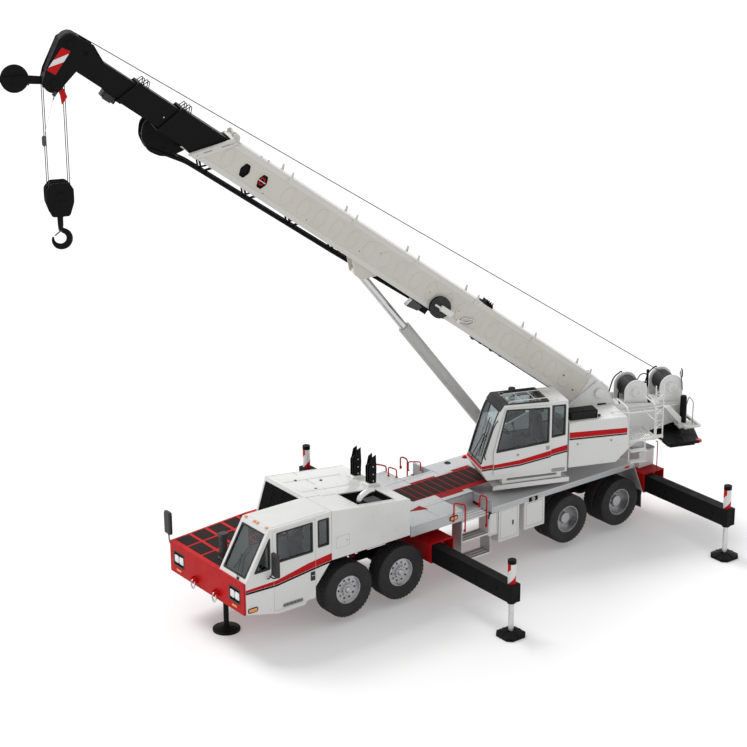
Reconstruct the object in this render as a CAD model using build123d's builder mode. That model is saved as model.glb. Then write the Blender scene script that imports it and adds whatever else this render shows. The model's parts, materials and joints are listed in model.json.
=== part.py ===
from build123d import *
import os
from math import atan2, cos, degrees, hypot, radians, sin

# Four-axle truck crane, standing on its outriggers with the boom raised.
# X points to the front of the carrier, Y to its left and Z up, in millimetres.
# The ground is at Z = 0. Carrier pieces are drawn from the middle of the four axles.
# Superstructure pieces are drawn from the centre of rotation, with the boom along X,
# and boom pieces from the boom foot pin, with X along the boom and Z across it.

os.makedirs("parts", exist_ok=True)

# Stance
jack_lift = 145
slew_angle = -20
boom_angle = 36.6

# Carrier
half_width = 1280
front_x = 6000
running_gap = 6
bearing_gap = 0.3
seat_gap = 0.3

# Axles and wheels
front_axle_x = (3540, 2250)
rear_axle_x = (-2160, -3630)
front_tyre_radius = 565
front_tyre_width = 400
rear_tyre_radius = 527
rear_tyre_width = 275
dual_spacing = 325
rim_radius = 286
rim_thickness = 12
disc_thickness = 14
hub_radius = 110
hand_hole_radius = 24
hand_hole_circle = 190
hand_hole_count = 10
kingpin_y = 760
kingpin_radius = 55
kingpin_length = 300
spindle_radius = 50
drum_radius = 205
axle_radius = 75
differential_radius = 210
spring_length = 1150
spring_height = 90
spring_width = 100
front_hub_z = front_tyre_radius + jack_lift
rear_hub_z = rear_tyre_radius + jack_lift
front_wheel_y = half_width - front_tyre_width / 2 - 15
rear_wheel_y = half_width - rear_tyre_width - (dual_spacing - rear_tyre_width) / 2

# Chassis
frame_half_width = 385
frame_wall = 14
frame_bottom = 960
frame_top = 1390
frame_rear = -4300
deck_thickness = 30
front_deck_top = 1670
rear_deck_top = 1500
skirt_depth = 240
rear_skirt_depth = 120
step_front = 740
step_rear = -50

deck_bearers = ((1900, 1240, front_deck_top), (1300, 1240, front_deck_top), (640, 680, front_deck_top),
                (120, 680, front_deck_top), (-200, 1240, rear_deck_top), (-860, 1240, rear_deck_top),
                (-2900, 1240, rear_deck_top), (-3900, 1240, rear_deck_top))

# Outriggers
outrigger_x = (1405, -4450)
beam_pitch = 300
beam_width = 230
beam_height = 370
beam_bottom = 745
beam_inner_y = 980
beam_outer_y = 3690
outrigger_box_wall = 16
float_y = 3570
float_size = 430
float_corner = 110
float_plate = 40
float_rib = 24
float_height = 115
jack_radius = 52
jack_tube_radius = 78
jack_travel = 560
front_jack_x = 5580
front_jack_travel = 480
front_float_radius = 270
front_float_height = 80
jack_tube_bottom = 700
jack_tube_top = 1610
jack_cap = 30

# Carrier cab
cab_rear = 3970
cab_right = 400
cab_roof = 2500
cab_roof_front = 5400
cab_floor = 915
cab_belly = 735
cab_wall = 40
fascia_thickness = 40
fascia_top = 1553
door_front = 5320
door_rear = 4350
door_gap = 6
door_hinge_z = (980, 1500)
hinge_radius = 14

# Engine hood
hood_rear = 2060
hood_right = -950
hood_roof_front = 2480
hood_roof_rear = 2240
hood_bottom = 1480
hood_nose = 4230
hood_wall = 30

# Superstructure
slew_x = -1950
turntable_radius = 640
turntable_top = 1700
cheek_y = 345
cheek_thickness = 30
foot_x = -1550
foot_z = 3125
foot_pin_radius = 70
floor_plate = 60
cylinder_foot_x = 480
cylinder_foot_z = 2060
winch_x = (-2440, -3250)
winch_z = (3010, 3040)
winch_half_width = 290
drum_core_radius = 175
drum_flange_radius = 265
drum_flange = 14
winch_plate = 24
tray_z = 2690
counterweight_top = 2110
counterweight_depth = 130
counterweight_half_width = 1170
counterweight_front = -2810
counterweight_rear = -3800

# Operator's cab
op_left = 1250
op_right = 390
op_rear = -500
op_roof = 3430
op_bottom = 1830
op_wall = 36

# Boom
base_length = 10050
base_slant = 275
section_slant = 90
collar_length = 100
collar_thickness = 16
window_x = (8790, 9210)
window_z = -150
window_half_length = 105
window_half_height = 140
base_low = -455
base_high = 215
base_half_width = 330
section_step = 42
section_wall = 10
section_nose = 950
tip_length = 12800
head_sheave_x = tip_length + 530
head_sheave_z = 40
head_sheave_radius = 230
nose_sheave_x = tip_length + 380
nose_sheave_z = -720
aux_sheave_x = tip_length + 990
aux_sheave_z = -1070
aux_sheave_radius = 250
jib_gap = 60
jib_width = 360
jib_plate = 50
jib_rear = 2600
jib_front = 10900
jib_top = -60
jib_low = -1050
jib_chord = 90
jib_bays = 6
jib_mount_x = (3200, 9500)
lift_pin_x = 5950
lift_pin_z = -620
lift_pin_radius = 55
barrel_radius = 130
barrel_length = 3560
rod_radius = 85
rod_tail = 1750
eye_radius = 105
eye_half_width = 100
hook_drop = 2240
hook_sheave_z = 90
hook_cheek_y = 140
hook_cheek = 20
hook_eye_z = -800
hook_eye_radius = 100
rope_radius = 8
rope_y = 120

MIRRORED = Location((0, 0, 0), (0, 0, 180))
SUPER = Location((slew_x, 0, 0), (0, 0, slew_angle))
BOOM = SUPER * Location((foot_x, 0, foot_z), (0, -boom_angle, 0))

pieces = {}


def keep(name, builder, place=Location()):
    """Names a finished piece and puts it in its place on the crane."""
    piece = builder.part.moved(place)
    piece.label = name
    pieces[name] = piece


def outline(plane, points):
    with BuildSketch(plane) as drawn:
        with BuildLine():
            Polyline(*points, close=True)
        make_face()
    return drawn.sketch


def side_prism(points, y_low, y_high, mode=Mode.ADD):
    """A prism whose outline is drawn from the side, in X and Z."""
    extrude(outline(Plane.XZ.offset(-y_high), points), amount=y_high - y_low, mode=mode)


def plan_prism(points, z_low, z_high, mode=Mode.ADD):
    """A prism whose outline is drawn from above, in X and Y."""
    extrude(outline(Plane.XY.offset(z_low), points), amount=z_high - z_low, mode=mode)


def cross_prism(points, x_low, x_high, mode=Mode.ADD):
    """A prism whose outline is drawn from the front, in Y and Z."""
    extrude(outline(Plane.YZ.offset(x_low), points), amount=x_high - x_low, mode=mode)


def block(x, y, z, mode=Mode.ADD):
    """A box between two values along each axis."""
    with Locations(((x[0] + x[1]) / 2, (y[0] + y[1]) / 2, (z[0] + z[1]) / 2)):
        Box(x[1] - x[0], y[1] - y[0], z[1] - z[0], mode=mode)


def across(x, z, radius, y_low, y_high, mode=Mode.ADD):
    """A round bar along Y."""
    with Locations(Location((x, (y_low + y_high) / 2, z), (90, 0, 0))):
        Cylinder(radius, y_high - y_low, mode=mode)


def upright(x, y, radius, z_low, z_high, mode=Mode.ADD):
    """A round bar along Z."""
    with Locations((x, y, (z_low + z_high) / 2)):
        Cylinder(radius, z_high - z_low, mode=mode)


def inset(points, distance):
    """The same outline with its edges moved in by one wall."""
    with BuildSketch(Plane.XY) as drawn:
        with BuildLine():
            Polyline(*points, close=True)
        make_face()
        offset(amount=-distance, kind=Kind.INTERSECTION)
    corners = drawn.sketch.faces()[0].outer_wire().order_edges()
    return [((edge @ 0).X, (edge @ 0).Y) for edge in corners]


# Wheels


def tyre_profile(radius, width, middle):
    half = width / 2
    bead = half * 0.78
    inner = rim_radius + seat_gap
    return [
        (inner, middle - bead),
        (radius - 60, middle - half),
        (radius, middle - half * 0.72),
        (radius, middle + half * 0.72),
        (radius - 60, middle + half),
        (inner, middle + bead),
    ]


def make_tyres(radius, width, middles):
    with BuildPart() as tyres:
        for middle in middles:
            with BuildSketch(Plane.XY):
                with BuildLine():
                    Polyline(*tyre_profile(radius, width, middle), close=True)
                make_face()
            revolve(axis=Axis.Y)
    return tyres


def ring(inner, outer, y_low, y_high):
    """A round plate or band about the wheel's axle."""
    revolve(outline(Plane.XY, [(inner, y_low), (outer, y_low), (outer, y_high), (inner, y_high)]), axis=Axis.Y)


def make_front_rim():
    bead = front_tyre_width / 2 * 0.78
    barrel = rim_radius - rim_thickness
    with BuildPart() as rim:
        ring(barrel, rim_radius, -bead, bead)
        ring(0, barrel + 1, bead - 60 - disc_thickness, bead - 60)
        ring(0, hub_radius, -10, bead - 10)
        for turn in range(hand_hole_count):
            angle = radians(turn * 360 / hand_hole_count)
            hole_x = hand_hole_circle * cos(angle)
            hole_z = hand_hole_circle * sin(angle)
            across(hole_x, hole_z, hand_hole_radius, bead - 90, bead - 40, Mode.SUBTRACT)
        across(0, 0, spindle_radius + bearing_gap, -20, bead - 80, Mode.SUBTRACT)
    return rim


def make_rear_rims():
    bead = rear_tyre_width / 2 * 0.78
    barrel = rim_radius - rim_thickness
    with BuildPart() as rims:
        for side in (-1, 1):
            middle = side * dual_spacing / 2
            ring(barrel, rim_radius, middle - bead, middle + bead)
        ring(barrel, rim_radius, -dual_spacing / 2, dual_spacing / 2)
        ring(0, barrel + 1, 0, 2 * disc_thickness)
        ring(0, hub_radius, 0, 190)
        for turn in range(hand_hole_count):
            angle = radians(turn * 360 / hand_hole_count)
            hole_x = hand_hole_circle * cos(angle)
            hole_z = hand_hole_circle * sin(angle)
            across(hole_x, hole_z, hand_hole_radius, -20, 60, Mode.SUBTRACT)
        across(0, 0, spindle_radius + bearing_gap, -20, 120, Mode.SUBTRACT)
    return rims


front_tyres = make_tyres(front_tyre_radius, front_tyre_width, [0])
dual_tyres = make_tyres(rear_tyre_radius, rear_tyre_width, [-dual_spacing / 2, dual_spacing / 2])
front_rim = make_front_rim()
rear_rims = make_rear_rims()
for number, x in enumerate(front_axle_x, 1):
    left = Location((x, front_wheel_y, front_hub_z))
    right = Location((x, -front_wheel_y, front_hub_z)) * MIRRORED
    keep(f"tyre_front_{number}_left", front_tyres, left)
    keep(f"tyre_front_{number}_right", front_tyres, right)
    keep(f"rim_front_{number}_left", front_rim, left)
    keep(f"rim_front_{number}_right", front_rim, right)
for number, x in enumerate(rear_axle_x, 1):
    left = Location((x, rear_wheel_y, rear_hub_z))
    right = Location((x, -rear_wheel_y, rear_hub_z)) * MIRRORED
    keep(f"tyres_rear_{number}_left", dual_tyres, left)
    keep(f"tyres_rear_{number}_right", dual_tyres, right)
    keep(f"rims_rear_{number}_left", rear_rims, left)
    keep(f"rims_rear_{number}_right", rear_rims, right)

# Steering knuckles, drawn at the left wheel with the origin at the hub

knuckle_inner = kingpin_y - front_wheel_y
spindle_end = front_tyre_width / 2 * 0.78 - 90
with BuildPart() as knuckle:
    upright(0, knuckle_inner, kingpin_radius, -kingpin_length / 2, kingpin_length / 2)
    across(0, 0, spindle_radius, knuckle_inner, spindle_end)
    across(0, 0, drum_radius, -120, -50)
for number, x in enumerate(front_axle_x, 1):
    keep(f"knuckle_{number}_left", knuckle, Location((x, front_wheel_y, front_hub_z)))
    keep(f"knuckle_{number}_right", knuckle, Location((x, -front_wheel_y, front_hub_z)) * MIRRORED)

# Axles, the front beams forked around the kingpins, with their leaf springs

fork_half = kingpin_length / 2 + bearing_gap
spring_y = frame_half_width - spring_width / 2 - 20
with BuildPart() as axles:
    for x in front_axle_x:
        beam_end = kingpin_y - kingpin_radius - 40
        across(x, front_hub_z, axle_radius, -beam_end, beam_end)
        for side in (-1, 1):
            block((x - 60, x + 60), sorted((side * (beam_end - 60), side * beam_end)),
                  (front_hub_z - fork_half - 30, front_hub_z + fork_half + 30))
            for low in (front_hub_z - fork_half - 30, front_hub_z + fork_half):
                block((x - 60, x + 60), sorted((side * (beam_end - 30), side * (kingpin_y + 60))),
                      (low, low + 30))
            block((x - spring_length / 2, x + spring_length / 2),
                  (side * spring_y - spring_width / 2, side * spring_y + spring_width / 2),
                  (front_hub_z + axle_radius - 20, front_hub_z + axle_radius + spring_height))
    for x in rear_axle_x:
        spindle_tip = rear_wheel_y + 100
        across(x, rear_hub_z, spindle_radius, -spindle_tip, spindle_tip)
        across(x, rear_hub_z, axle_radius, -rear_wheel_y + 330, rear_wheel_y - 330)
        with Locations((x, 0, rear_hub_z)):
            Sphere(differential_radius)
    for side in (-1, 1):
        block((min(rear_axle_x) - 160, max(rear_axle_x) + 160),
              (side * spring_y - spring_width / 2, side * spring_y + spring_width / 2),
              (rear_hub_z + axle_radius - 20, rear_hub_z + axle_radius + spring_height))
keep("axles", axles)

# Main frame with the outrigger boxes

frame_front = front_x - fascia_thickness - seat_gap
tandem_x = sum(rear_axle_x) / 2
with BuildPart() as frame:
    block((frame_rear, frame_front), (-frame_half_width, frame_half_width), (frame_bottom, frame_top))
    block((frame_rear + 1, frame_front - 1), (-frame_half_width + frame_wall, frame_half_width - frame_wall),
          (frame_bottom + frame_wall, frame_top - frame_wall), Mode.SUBTRACT)
    for x in outrigger_x:
        box_front = x + beam_width / 2 + running_gap + outrigger_box_wall
        box_rear = x - beam_pitch - beam_width / 2 - running_gap - outrigger_box_wall
        box_low = beam_bottom - running_gap - outrigger_box_wall
        box_high = beam_bottom + beam_height + running_gap + outrigger_box_wall
        block((box_rear, box_front), (-half_width, half_width), (box_low, box_high))
    for x in outrigger_x:
        for beam_x in (x, x - beam_pitch):
            block((beam_x - beam_width / 2 - running_gap, beam_x + beam_width / 2 + running_gap),
                  (-half_width - 1, half_width + 1),
                  (beam_bottom - running_gap, beam_bottom + beam_height + running_gap), Mode.SUBTRACT)
        for side in (-1, 1):
            for beam_x in (x, x - beam_pitch):
                block((beam_x - beam_width / 2 - running_gap - 1, beam_x + beam_width / 2 + running_gap + 1),
                      sorted((side * (beam_inner_y + 20), side * (half_width - 10))),
                      (beam_bottom - running_gap - 1, beam_bottom - seat_gap))
    block((frame_rear - 500, frame_rear), (-frame_half_width, frame_half_width), (box_high, frame_top))
    for side in (-1, 1):
        hanger = sorted((side * (spring_y + spring_width / 2), side * (spring_y - spring_width / 2)))
        spring_top = front_hub_z + axle_radius + spring_height + seat_gap
        for x in front_axle_x:
            for end in (x - spring_length / 2, x + spring_length / 2 - 90):
                block((end, end + 90), hanger, (spring_top, frame_bottom + 1))
        spring_top = rear_hub_z + axle_radius + spring_height + seat_gap
        block((tandem_x - 160, tandem_x + 160), hanger, (spring_top, frame_bottom + 1))
    for x, bearer_half, top in deck_bearers:
        block((x, x + 60), (-bearer_half, bearer_half), (frame_top - 1, top - deck_thickness - seat_gap))
    for x in (2200, 3750):
        block((x, x + 60), (-half_width + 40, -frame_half_width + 1),
              (frame_top - 60, front_deck_top - deck_thickness - seat_gap))
    for x, low in ((4160, 1300), (4900, 1000)):
        block((x, x + 200), (frame_half_width - 1, cab_right - seat_gap), (low, frame_top))
    upright(front_jack_x, 0, jack_tube_radius, frame_bottom - 120, fascia_top - deck_thickness)
    upright(front_jack_x, 0, jack_radius + running_gap, frame_bottom - 60,
            fascia_top - deck_thickness - jack_cap, Mode.SUBTRACT)
    upright(front_jack_x, 0, jack_radius + bearing_gap, frame_bottom - 121, frame_bottom - 60, Mode.SUBTRACT)
    upright(slew_x, 0, turntable_radius + 60, frame_top - 1, turntable_top - 60)
keep("frame", frame)

# Outrigger beams and jacks, the left beam of each pair in front


def float_pad(x, y):
    """A square foot with cut corners, with ribs up to the socket of the jack."""
    half = float_size / 2
    edge = half - float_corner
    plan_prism([(x - half, y - edge), (x - edge, y - half), (x + edge, y - half), (x + half, y - edge),
                (x + half, y + edge), (x + edge, y + half), (x - edge, y + half), (x - half, y + edge)],
               0, float_plate)
    for length, width in ((half - 15, float_rib / 2), (float_rib / 2, half - 15)):
        block((x - length, x + length), (y - width, y + width), (float_plate - 1, float_height - 25))
    upright(x, y, jack_tube_radius + 12, float_plate - 1, float_height)


for place, x in zip(("front", "rear"), outrigger_x):
    for side, name in ((1, "left"), (-1, "right")):
        beam_x = x if side == 1 else x - beam_pitch
        beam_y = sorted((side * beam_inner_y, side * beam_outer_y))
        with BuildPart() as beam:
            block((beam_x - beam_width / 2, beam_x + beam_width / 2), beam_y,
                  (beam_bottom, beam_bottom + beam_height))
            upright(beam_x, side * float_y, jack_tube_radius, jack_tube_bottom, jack_tube_top)
            upright(beam_x, side * float_y, jack_radius + running_gap, jack_tube_bottom + 60,
                    jack_tube_top - jack_cap, Mode.SUBTRACT)
            upright(beam_x, side * float_y, jack_radius + bearing_gap, jack_tube_bottom - 1,
                    jack_tube_bottom + 61, Mode.SUBTRACT)
        keep(f"outrigger_beam_{place}_{name}", beam)
        with BuildPart() as jack:
            float_pad(beam_x, side * float_y)
            upright(beam_x, side * float_y, jack_radius, float_height - 10,
                    jack_tube_top - jack_cap - jack_travel - running_gap)
        keep(f"jack_{place}_{name}", jack)
with BuildPart() as front_jack:
    upright(front_jack_x, 0, front_float_radius, 0, float_plate)
    with Locations((front_jack_x, 0, (float_plate + front_float_height) / 2)):
        Cone(front_float_radius - 30, jack_tube_radius, front_float_height - float_plate)
    upright(front_jack_x, 0, jack_radius, front_float_height - 10,
            fascia_top - deck_thickness - jack_cap - front_jack_travel - running_gap)
keep("jack_nose", front_jack)

# Front deck and fascia

deck_nose = front_x - 1
arch_front = 4610
with BuildPart() as front_deck:
    block((front_x - fascia_thickness, front_x), (-half_width, half_width), (cab_floor, fascia_top))
    side_prism([(front_x - 10, fascia_top - deck_thickness), (front_x - 10, fascia_top),
                (hood_nose, front_deck_top), (hood_nose, front_deck_top - deck_thickness)],
               -half_width, cab_right - running_gap)
    block((cab_rear, hood_nose + 1), (-half_width, hood_right - 10),
          (front_deck_top - deck_thickness, front_deck_top))
    side_prism([(front_x - 10, cab_floor), (front_x - 10, fascia_top - 10), (cab_rear, front_deck_top - 15),
                (cab_rear, 1500), (arch_front, cab_belly), (5220, cab_belly)],
               -half_width, -half_width + 30)
    for side in (-1, 1):
        block((front_x - 30, front_x + 1), (side * 970 - 180, side * 970 + 180), (1090, 1390), Mode.SUBTRACT)
    upright(front_jack_x, 0, jack_tube_radius + running_gap, 800, 1700, Mode.SUBTRACT)
keep("front_deck", front_deck)

# Tread plate deck with its skirts and rear fenders

fender_rear = -3980
fender_foot = -4270
with BuildPart() as deck:
    block((step_front, hood_rear - 10), (-half_width, half_width), (front_deck_top - deck_thickness, front_deck_top))
    block((hood_rear - 11, cab_rear - 10), (-half_width, hood_right - 10),
          (front_deck_top - deck_thickness, front_deck_top))
    block((step_rear, step_front + 1), (-frame_half_width - 300, frame_half_width + 300),
          (front_deck_top - deck_thickness, front_deck_top))
    block((step_rear, step_rear + 20), (-half_width, half_width), (rear_deck_top - 1, front_deck_top))
    block((fender_rear, step_rear + 20), (-half_width, half_width), (rear_deck_top - deck_thickness, rear_deck_top))
    for side in (-1, 1):
        wall = sorted((side * half_width, side * (half_width - 20)))
        block((step_front, hood_rear - 10), wall, (front_deck_top - skirt_depth, front_deck_top))
        block((fender_rear, step_rear + 20), wall, (rear_deck_top - rear_skirt_depth, rear_deck_top))
        shell = sorted((side * half_width, side * (frame_half_width + 30)))
        side_prism([(fender_rear, rear_deck_top), (fender_foot - 25, 740), (fender_foot, 740),
                    (fender_rear + 10, rear_deck_top - deck_thickness)], *shell)
    upright(slew_x, 0, turntable_radius + 80, 1400, 1700, Mode.SUBTRACT)
    for side in (-1, 1):
        rail = sorted((side * (half_width - 20), side * (half_width - 320)))
        for x in (step_rear + 19, step_front - 24):
            block((x, x + 25), rail, (480, front_deck_top - 1))
        for z in (500, 930, 1370):
            block((step_rear + 20, step_front - 10), rail, (z, z + 30))
keep("deck", deck)

# Tool cabinets

with BuildPart() as cabinets:
    for side in (-1, 1):
        for front, rear, low in ((-240, -790, 675), (-930, -1480, 760)):
            block((rear, front), sorted((side * (half_width - 20 - seat_gap), side * (half_width - 400))),
                  (low, rear_deck_top - deck_thickness - seat_gap))
keep("cabinets", cabinets)

# Engine hood, engine and boom rest

hood_side = [(hood_rear, hood_bottom), (hood_rear, hood_roof_rear), (cab_rear - 10, hood_roof_front),
             (cab_rear - 10, hood_bottom)]
hood_floor = front_deck_top + seat_gap
with BuildPart() as hood:
    side_prism(hood_side, cab_right, half_width - 5)
    side_prism([(hood_rear, hood_floor), (hood_rear, hood_roof_rear), (cab_rear - 10, hood_roof_front),
                (cab_rear - 10, hood_floor)], hood_right, cab_right + 1)
    side_prism([(cab_rear - 11, hood_floor), (cab_rear - 11, hood_roof_front), (hood_nose, hood_floor)],
               hood_right, cab_right - running_gap)
    block((hood_rear + hood_wall, cab_rear - 10 - hood_wall), (hood_right + hood_wall, half_width - 5 - hood_wall),
          (hood_bottom - 1, hood_roof_rear - 60), Mode.SUBTRACT)
    block((2350, 3250), (480, 1150), (2000, 2600), Mode.SUBTRACT)
    block((3900, 4400), (hood_right + 60, cab_right - 70), (1760, 2330), Mode.SUBTRACT)
keep("hood", hood)

with BuildPart() as engine:
    block((2500, 3600), (-frame_half_width + 30, frame_half_width - 30), (frame_top, 2000))
keep("engine", engine)



def hood_roof(x):
    slope = (hood_roof_front - hood_roof_rear) / (cab_rear - 10 - hood_rear)
    return hood_roof_rear + slope * (x - hood_rear) + seat_gap


with BuildPart() as boom_rest:
    for y in (-250, 250):
        side_prism([(2160, hood_roof(2160)), (2140, 2700), (2180, 2790), (2330, 2700), (2330, hood_roof(2330))],
                   y - 15, y + 15)
keep("boom_rest", boom_rest)

# Carrier cab, hollow, with its door opening and windows cut

cab_nose = front_x - fascia_thickness - running_gap
cab_side = [(cab_rear, 1500), (arch_front, cab_belly), (5220, cab_belly), (cab_nose, cab_floor),
            (cab_nose, fascia_top), (cab_roof_front, cab_roof), (cab_rear, cab_roof)]
with BuildPart() as carrier_cab:
    side_prism(cab_side, cab_right, half_width)
    side_prism(inset(cab_side, cab_wall), cab_right + cab_wall, half_width - cab_wall, Mode.SUBTRACT)
    side_prism([(door_rear, 800), (door_front, 800), (door_front, 2440), (door_rear, 2440)],
               half_width - cab_wall - 1, half_width + 1, Mode.SUBTRACT)
    side_prism([(5390, 1700), (5760, 1700), (5390, 2340)], half_width - cab_wall - 1, half_width + 1, Mode.SUBTRACT)
    side_prism([(4040, 1840), (4280, 1840), (4280, 2380), (4040, 2380)],
               cab_right - 1, half_width + 1, Mode.SUBTRACT)
    side_prism([(4400, 1840), (5300, 1840), (5300, 2380), (4400, 2380)],
               cab_right - 1, cab_right + cab_wall + 1, Mode.SUBTRACT)
    for z in door_hinge_z:
        upright(door_front - door_gap, half_width, hinge_radius + bearing_gap, z - seat_gap, z + 80 + seat_gap,
                Mode.SUBTRACT)
    block((5300, 6100), (cab_right + 70, half_width - 70), (fascia_top + 70, cab_roof - 90), Mode.SUBTRACT)
keep("carrier_cab", carrier_cab)

with BuildPart() as cab_door:
    side_prism([(door_rear + door_gap, 800 + door_gap), (door_front - door_gap, 800 + door_gap),
                (door_front - door_gap, 2440 - door_gap), (door_rear + door_gap, 2440 - door_gap)],
               half_width - cab_wall, half_width)
    side_prism([(4420, 1790), (5230, 1790), (5230, 2385), (4420, 2385)],
               half_width - cab_wall - 1, half_width + 1, Mode.SUBTRACT)
    for z in door_hinge_z:
        upright(door_front - door_gap, half_width, hinge_radius, z, z + 80)
keep("carrier_cab_door", cab_door)

with BuildPart() as driver_seat:
    block((4500, 5000), (620, 1080), (1100, 1250))
    block((4450, 4560), (620, 1080), (1249, 1900))
    block((4700, 4950), (700, 1000), (cab_belly + cab_wall, 1101))
keep("driver_seat", driver_seat)

# Superstructure frame with the boom cheeks

with BuildPart() as super_frame:
    upright(0, 0, turntable_radius, turntable_top - 60 + seat_gap, turntable_top + 10)
    block((-400, 900), (cheek_y, 1200), (turntable_top, turntable_top + floor_plate))
    for x in (-400, 800):
        block((x, x + 100), (cheek_y + cheek_thickness, 1200), (turntable_top + 50, op_bottom - seat_gap))
    block((-550, 1010), (800, 1240), (1600, 1660))
    block((-400, 800), (1000, 1060), (1659, turntable_top + 1))
    block((-2100, 900), (-cheek_y - cheek_thickness, cheek_y + cheek_thickness),
          (turntable_top, turntable_top + floor_plate))
    for side in (-1, 1):
        plate = sorted((side * cheek_y, side * (cheek_y + cheek_thickness)))
        side_prism([(750, turntable_top + 50), (750, 2150), (-650, 2760), (foot_x + 60, 3380), (foot_x - 60, 3380),
                    (-1930, 2820), (-3560, 2690), (-3560, 2330), (-2750, 2140), (-2300, turntable_top + 100),
                    (-2000, turntable_top + 50)], *plate)
    block((-3560, -2000), (-cheek_y - 5, cheek_y + 5), (tray_z - 30, tray_z))
    across(foot_x, foot_z, foot_pin_radius, -cheek_y - cheek_thickness - 30, cheek_y + cheek_thickness + 30)
    for side in (-1, 1):
        across(cylinder_foot_x, cylinder_foot_z, lift_pin_radius,
               *sorted((side * (barrel_radius + running_gap), side * (cheek_y + 5))))
    block((cylinder_foot_x - 280, 1011), (-barrel_radius - 40, barrel_radius + 40),
          (turntable_top + 10, turntable_top + floor_plate + 1), Mode.SUBTRACT)
keep("super_frame", super_frame, SUPER)

with BuildPart() as winch_frames:
    for x, z in zip(winch_x, winch_z):
        for side in (-1, 1):
            plate = sorted((side * winch_half_width, side * (winch_half_width - winch_plate)))
            block((x - drum_flange_radius, x + drum_flange_radius), plate, (tray_z, z))
            across(x, z, drum_flange_radius, *plate)
        block((x - drum_flange_radius, x + drum_flange_radius), (-winch_half_width, winch_half_width),
              (tray_z, tray_z + 30))
keep("winch_frames", winch_frames, SUPER)

for name, x, z in zip(("front", "rear"), winch_x, winch_z):
    with BuildPart() as drum:
        drum_end = winch_half_width - winch_plate - bearing_gap
        across(x, z, drum_core_radius, -drum_end, drum_end)
        for low in (-drum_end, drum_end - drum_flange):
            across(x, z, drum_flange_radius - 20, low, low + drum_flange)
    keep(f"winch_drum_{name}", drum, SUPER)

with BuildPart() as counterweight:
    plan_prism([(counterweight_front, -counterweight_half_width), (counterweight_front, counterweight_half_width),
                (-3540, counterweight_half_width), (counterweight_rear, 270), (counterweight_rear, -270),
                (-3540, -counterweight_half_width)],
               counterweight_top - counterweight_depth, counterweight_top)
    block((-3500, -2850), (-cheek_y + running_gap, cheek_y - running_gap),
          (counterweight_top - 1, tray_z - 30 - seat_gap))
keep("counterweight", counterweight, SUPER)

with BuildPart() as side_cabinet:
    side_prism([(-560, 1880), (-1620, 1880), (-1900, 2150), (-1850, 2850), (-560, 2850)],
               cheek_y + cheek_thickness + seat_gap, 1200)
keep("side_cabinet", side_cabinet, SUPER)

with BuildPart() as platform:
    block((-2600, -1930), (cheek_y + cheek_thickness + seat_gap, 1060), (2210, 2250))
    for x in (-2600, -1970):
        block((x, x + 40), (1020, 1060), (2240, 3100))
keep("platform", platform, SUPER)

# Operator's cab

op_side = [(op_rear, op_bottom), (1180, op_bottom), (1390, 2040), (1660, 2520), (950, 3330), (860, op_roof),
           (op_rear, op_roof - 40)]
with BuildPart() as operator_cab:
    side_prism(op_side, op_right, op_left)
    side_prism(inset(op_side, op_wall), op_right + op_wall, op_left - op_wall, Mode.SUBTRACT)
    side_prism([(-90, 1950), (1100, 1950), (1100, 2440), (850, 3350), (-90, 3320)],
               op_left - op_wall - 1, op_left + 1, Mode.SUBTRACT)
    side_prism([(-440, 2650), (-150, 2620), (-150, 3310), (-440, 3300)], op_right - 1, op_left + 1, Mode.SUBTRACT)
    side_prism([(0, 2500), (1100, 2500), (850, 3300), (0, 3300)], op_right - 1, op_right + op_wall + 1, Mode.SUBTRACT)
    block((900, 1700), (op_right + 60, op_left - 60), (2560, 3280), Mode.SUBTRACT)
    block((0, 700), (op_right + 80, op_left - 80), (op_roof - 100, op_roof + 50), Mode.SUBTRACT)
    block((op_rear, 1150), (op_left - 1, op_left + running_gap - seat_gap), (1941, 1949))
keep("operator_cab", operator_cab, SUPER)

with BuildPart() as operator_door:
    side_prism([(-130, 1940), (1120, 1940), (1120, 2440), (870, 3370), (-130, 3335)],
               op_left + running_gap, op_left + running_gap + 30)
    side_prism([(-70, 2540), (1060, 2450), (850, 3340), (-70, 3290)],
               op_left + running_gap - 1, op_left + running_gap + 31, Mode.SUBTRACT)
keep("operator_door", operator_door, SUPER)

with BuildPart() as operator_seat:
    block((0, 520), (560, 1040), (2250, 2390))
    block((-90, 30), (560, 1040), (2389, 3050))
    block((100, 420), (650, 950), (op_bottom + op_wall, 2251))
keep("operator_seat", operator_seat, SUPER)

# Boom, drawn along X from the foot pin


def box_section(index):
    """Half width and the low and high faces of a boom section, from the base inwards."""
    step = index * section_step
    return base_half_width - step, base_low + step, base_high - step


def slide_pad(index, end):
    """The pad in a section's mouth that the next section rests on."""
    half, low, high = box_section(index)
    block((end - 160, end - 20), (-half + section_wall - 1, half - section_wall + 1),
          (low + section_wall - 1, low + section_step - seat_gap))


def slanted_box(start, end, slant, half, low, high, mode=Mode.ADD):
    """A length of boom whose nose leans back towards its top."""
    side_prism([(start, low), (end + slant, low), (end - slant, high), (start, high)], -half, half, mode)


def make_section(index, start, end):
    half, low, high = box_section(index)
    rim = collar_thickness
    with BuildPart() as section:
        slanted_box(start, end, section_slant, half, low, high)
        side_prism([(end + section_slant - collar_length, low - rim), (end + section_slant, low - rim),
                    (end - section_slant, high + rim), (end - section_slant - collar_length, high + rim)],
                   -half - rim, half + rim)
        block((start - 1, end + section_slant + 1), (-half + section_wall, half - section_wall),
              (low + section_wall, high - section_wall), Mode.SUBTRACT)
        slide_pad(index, end)
    return section


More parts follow.
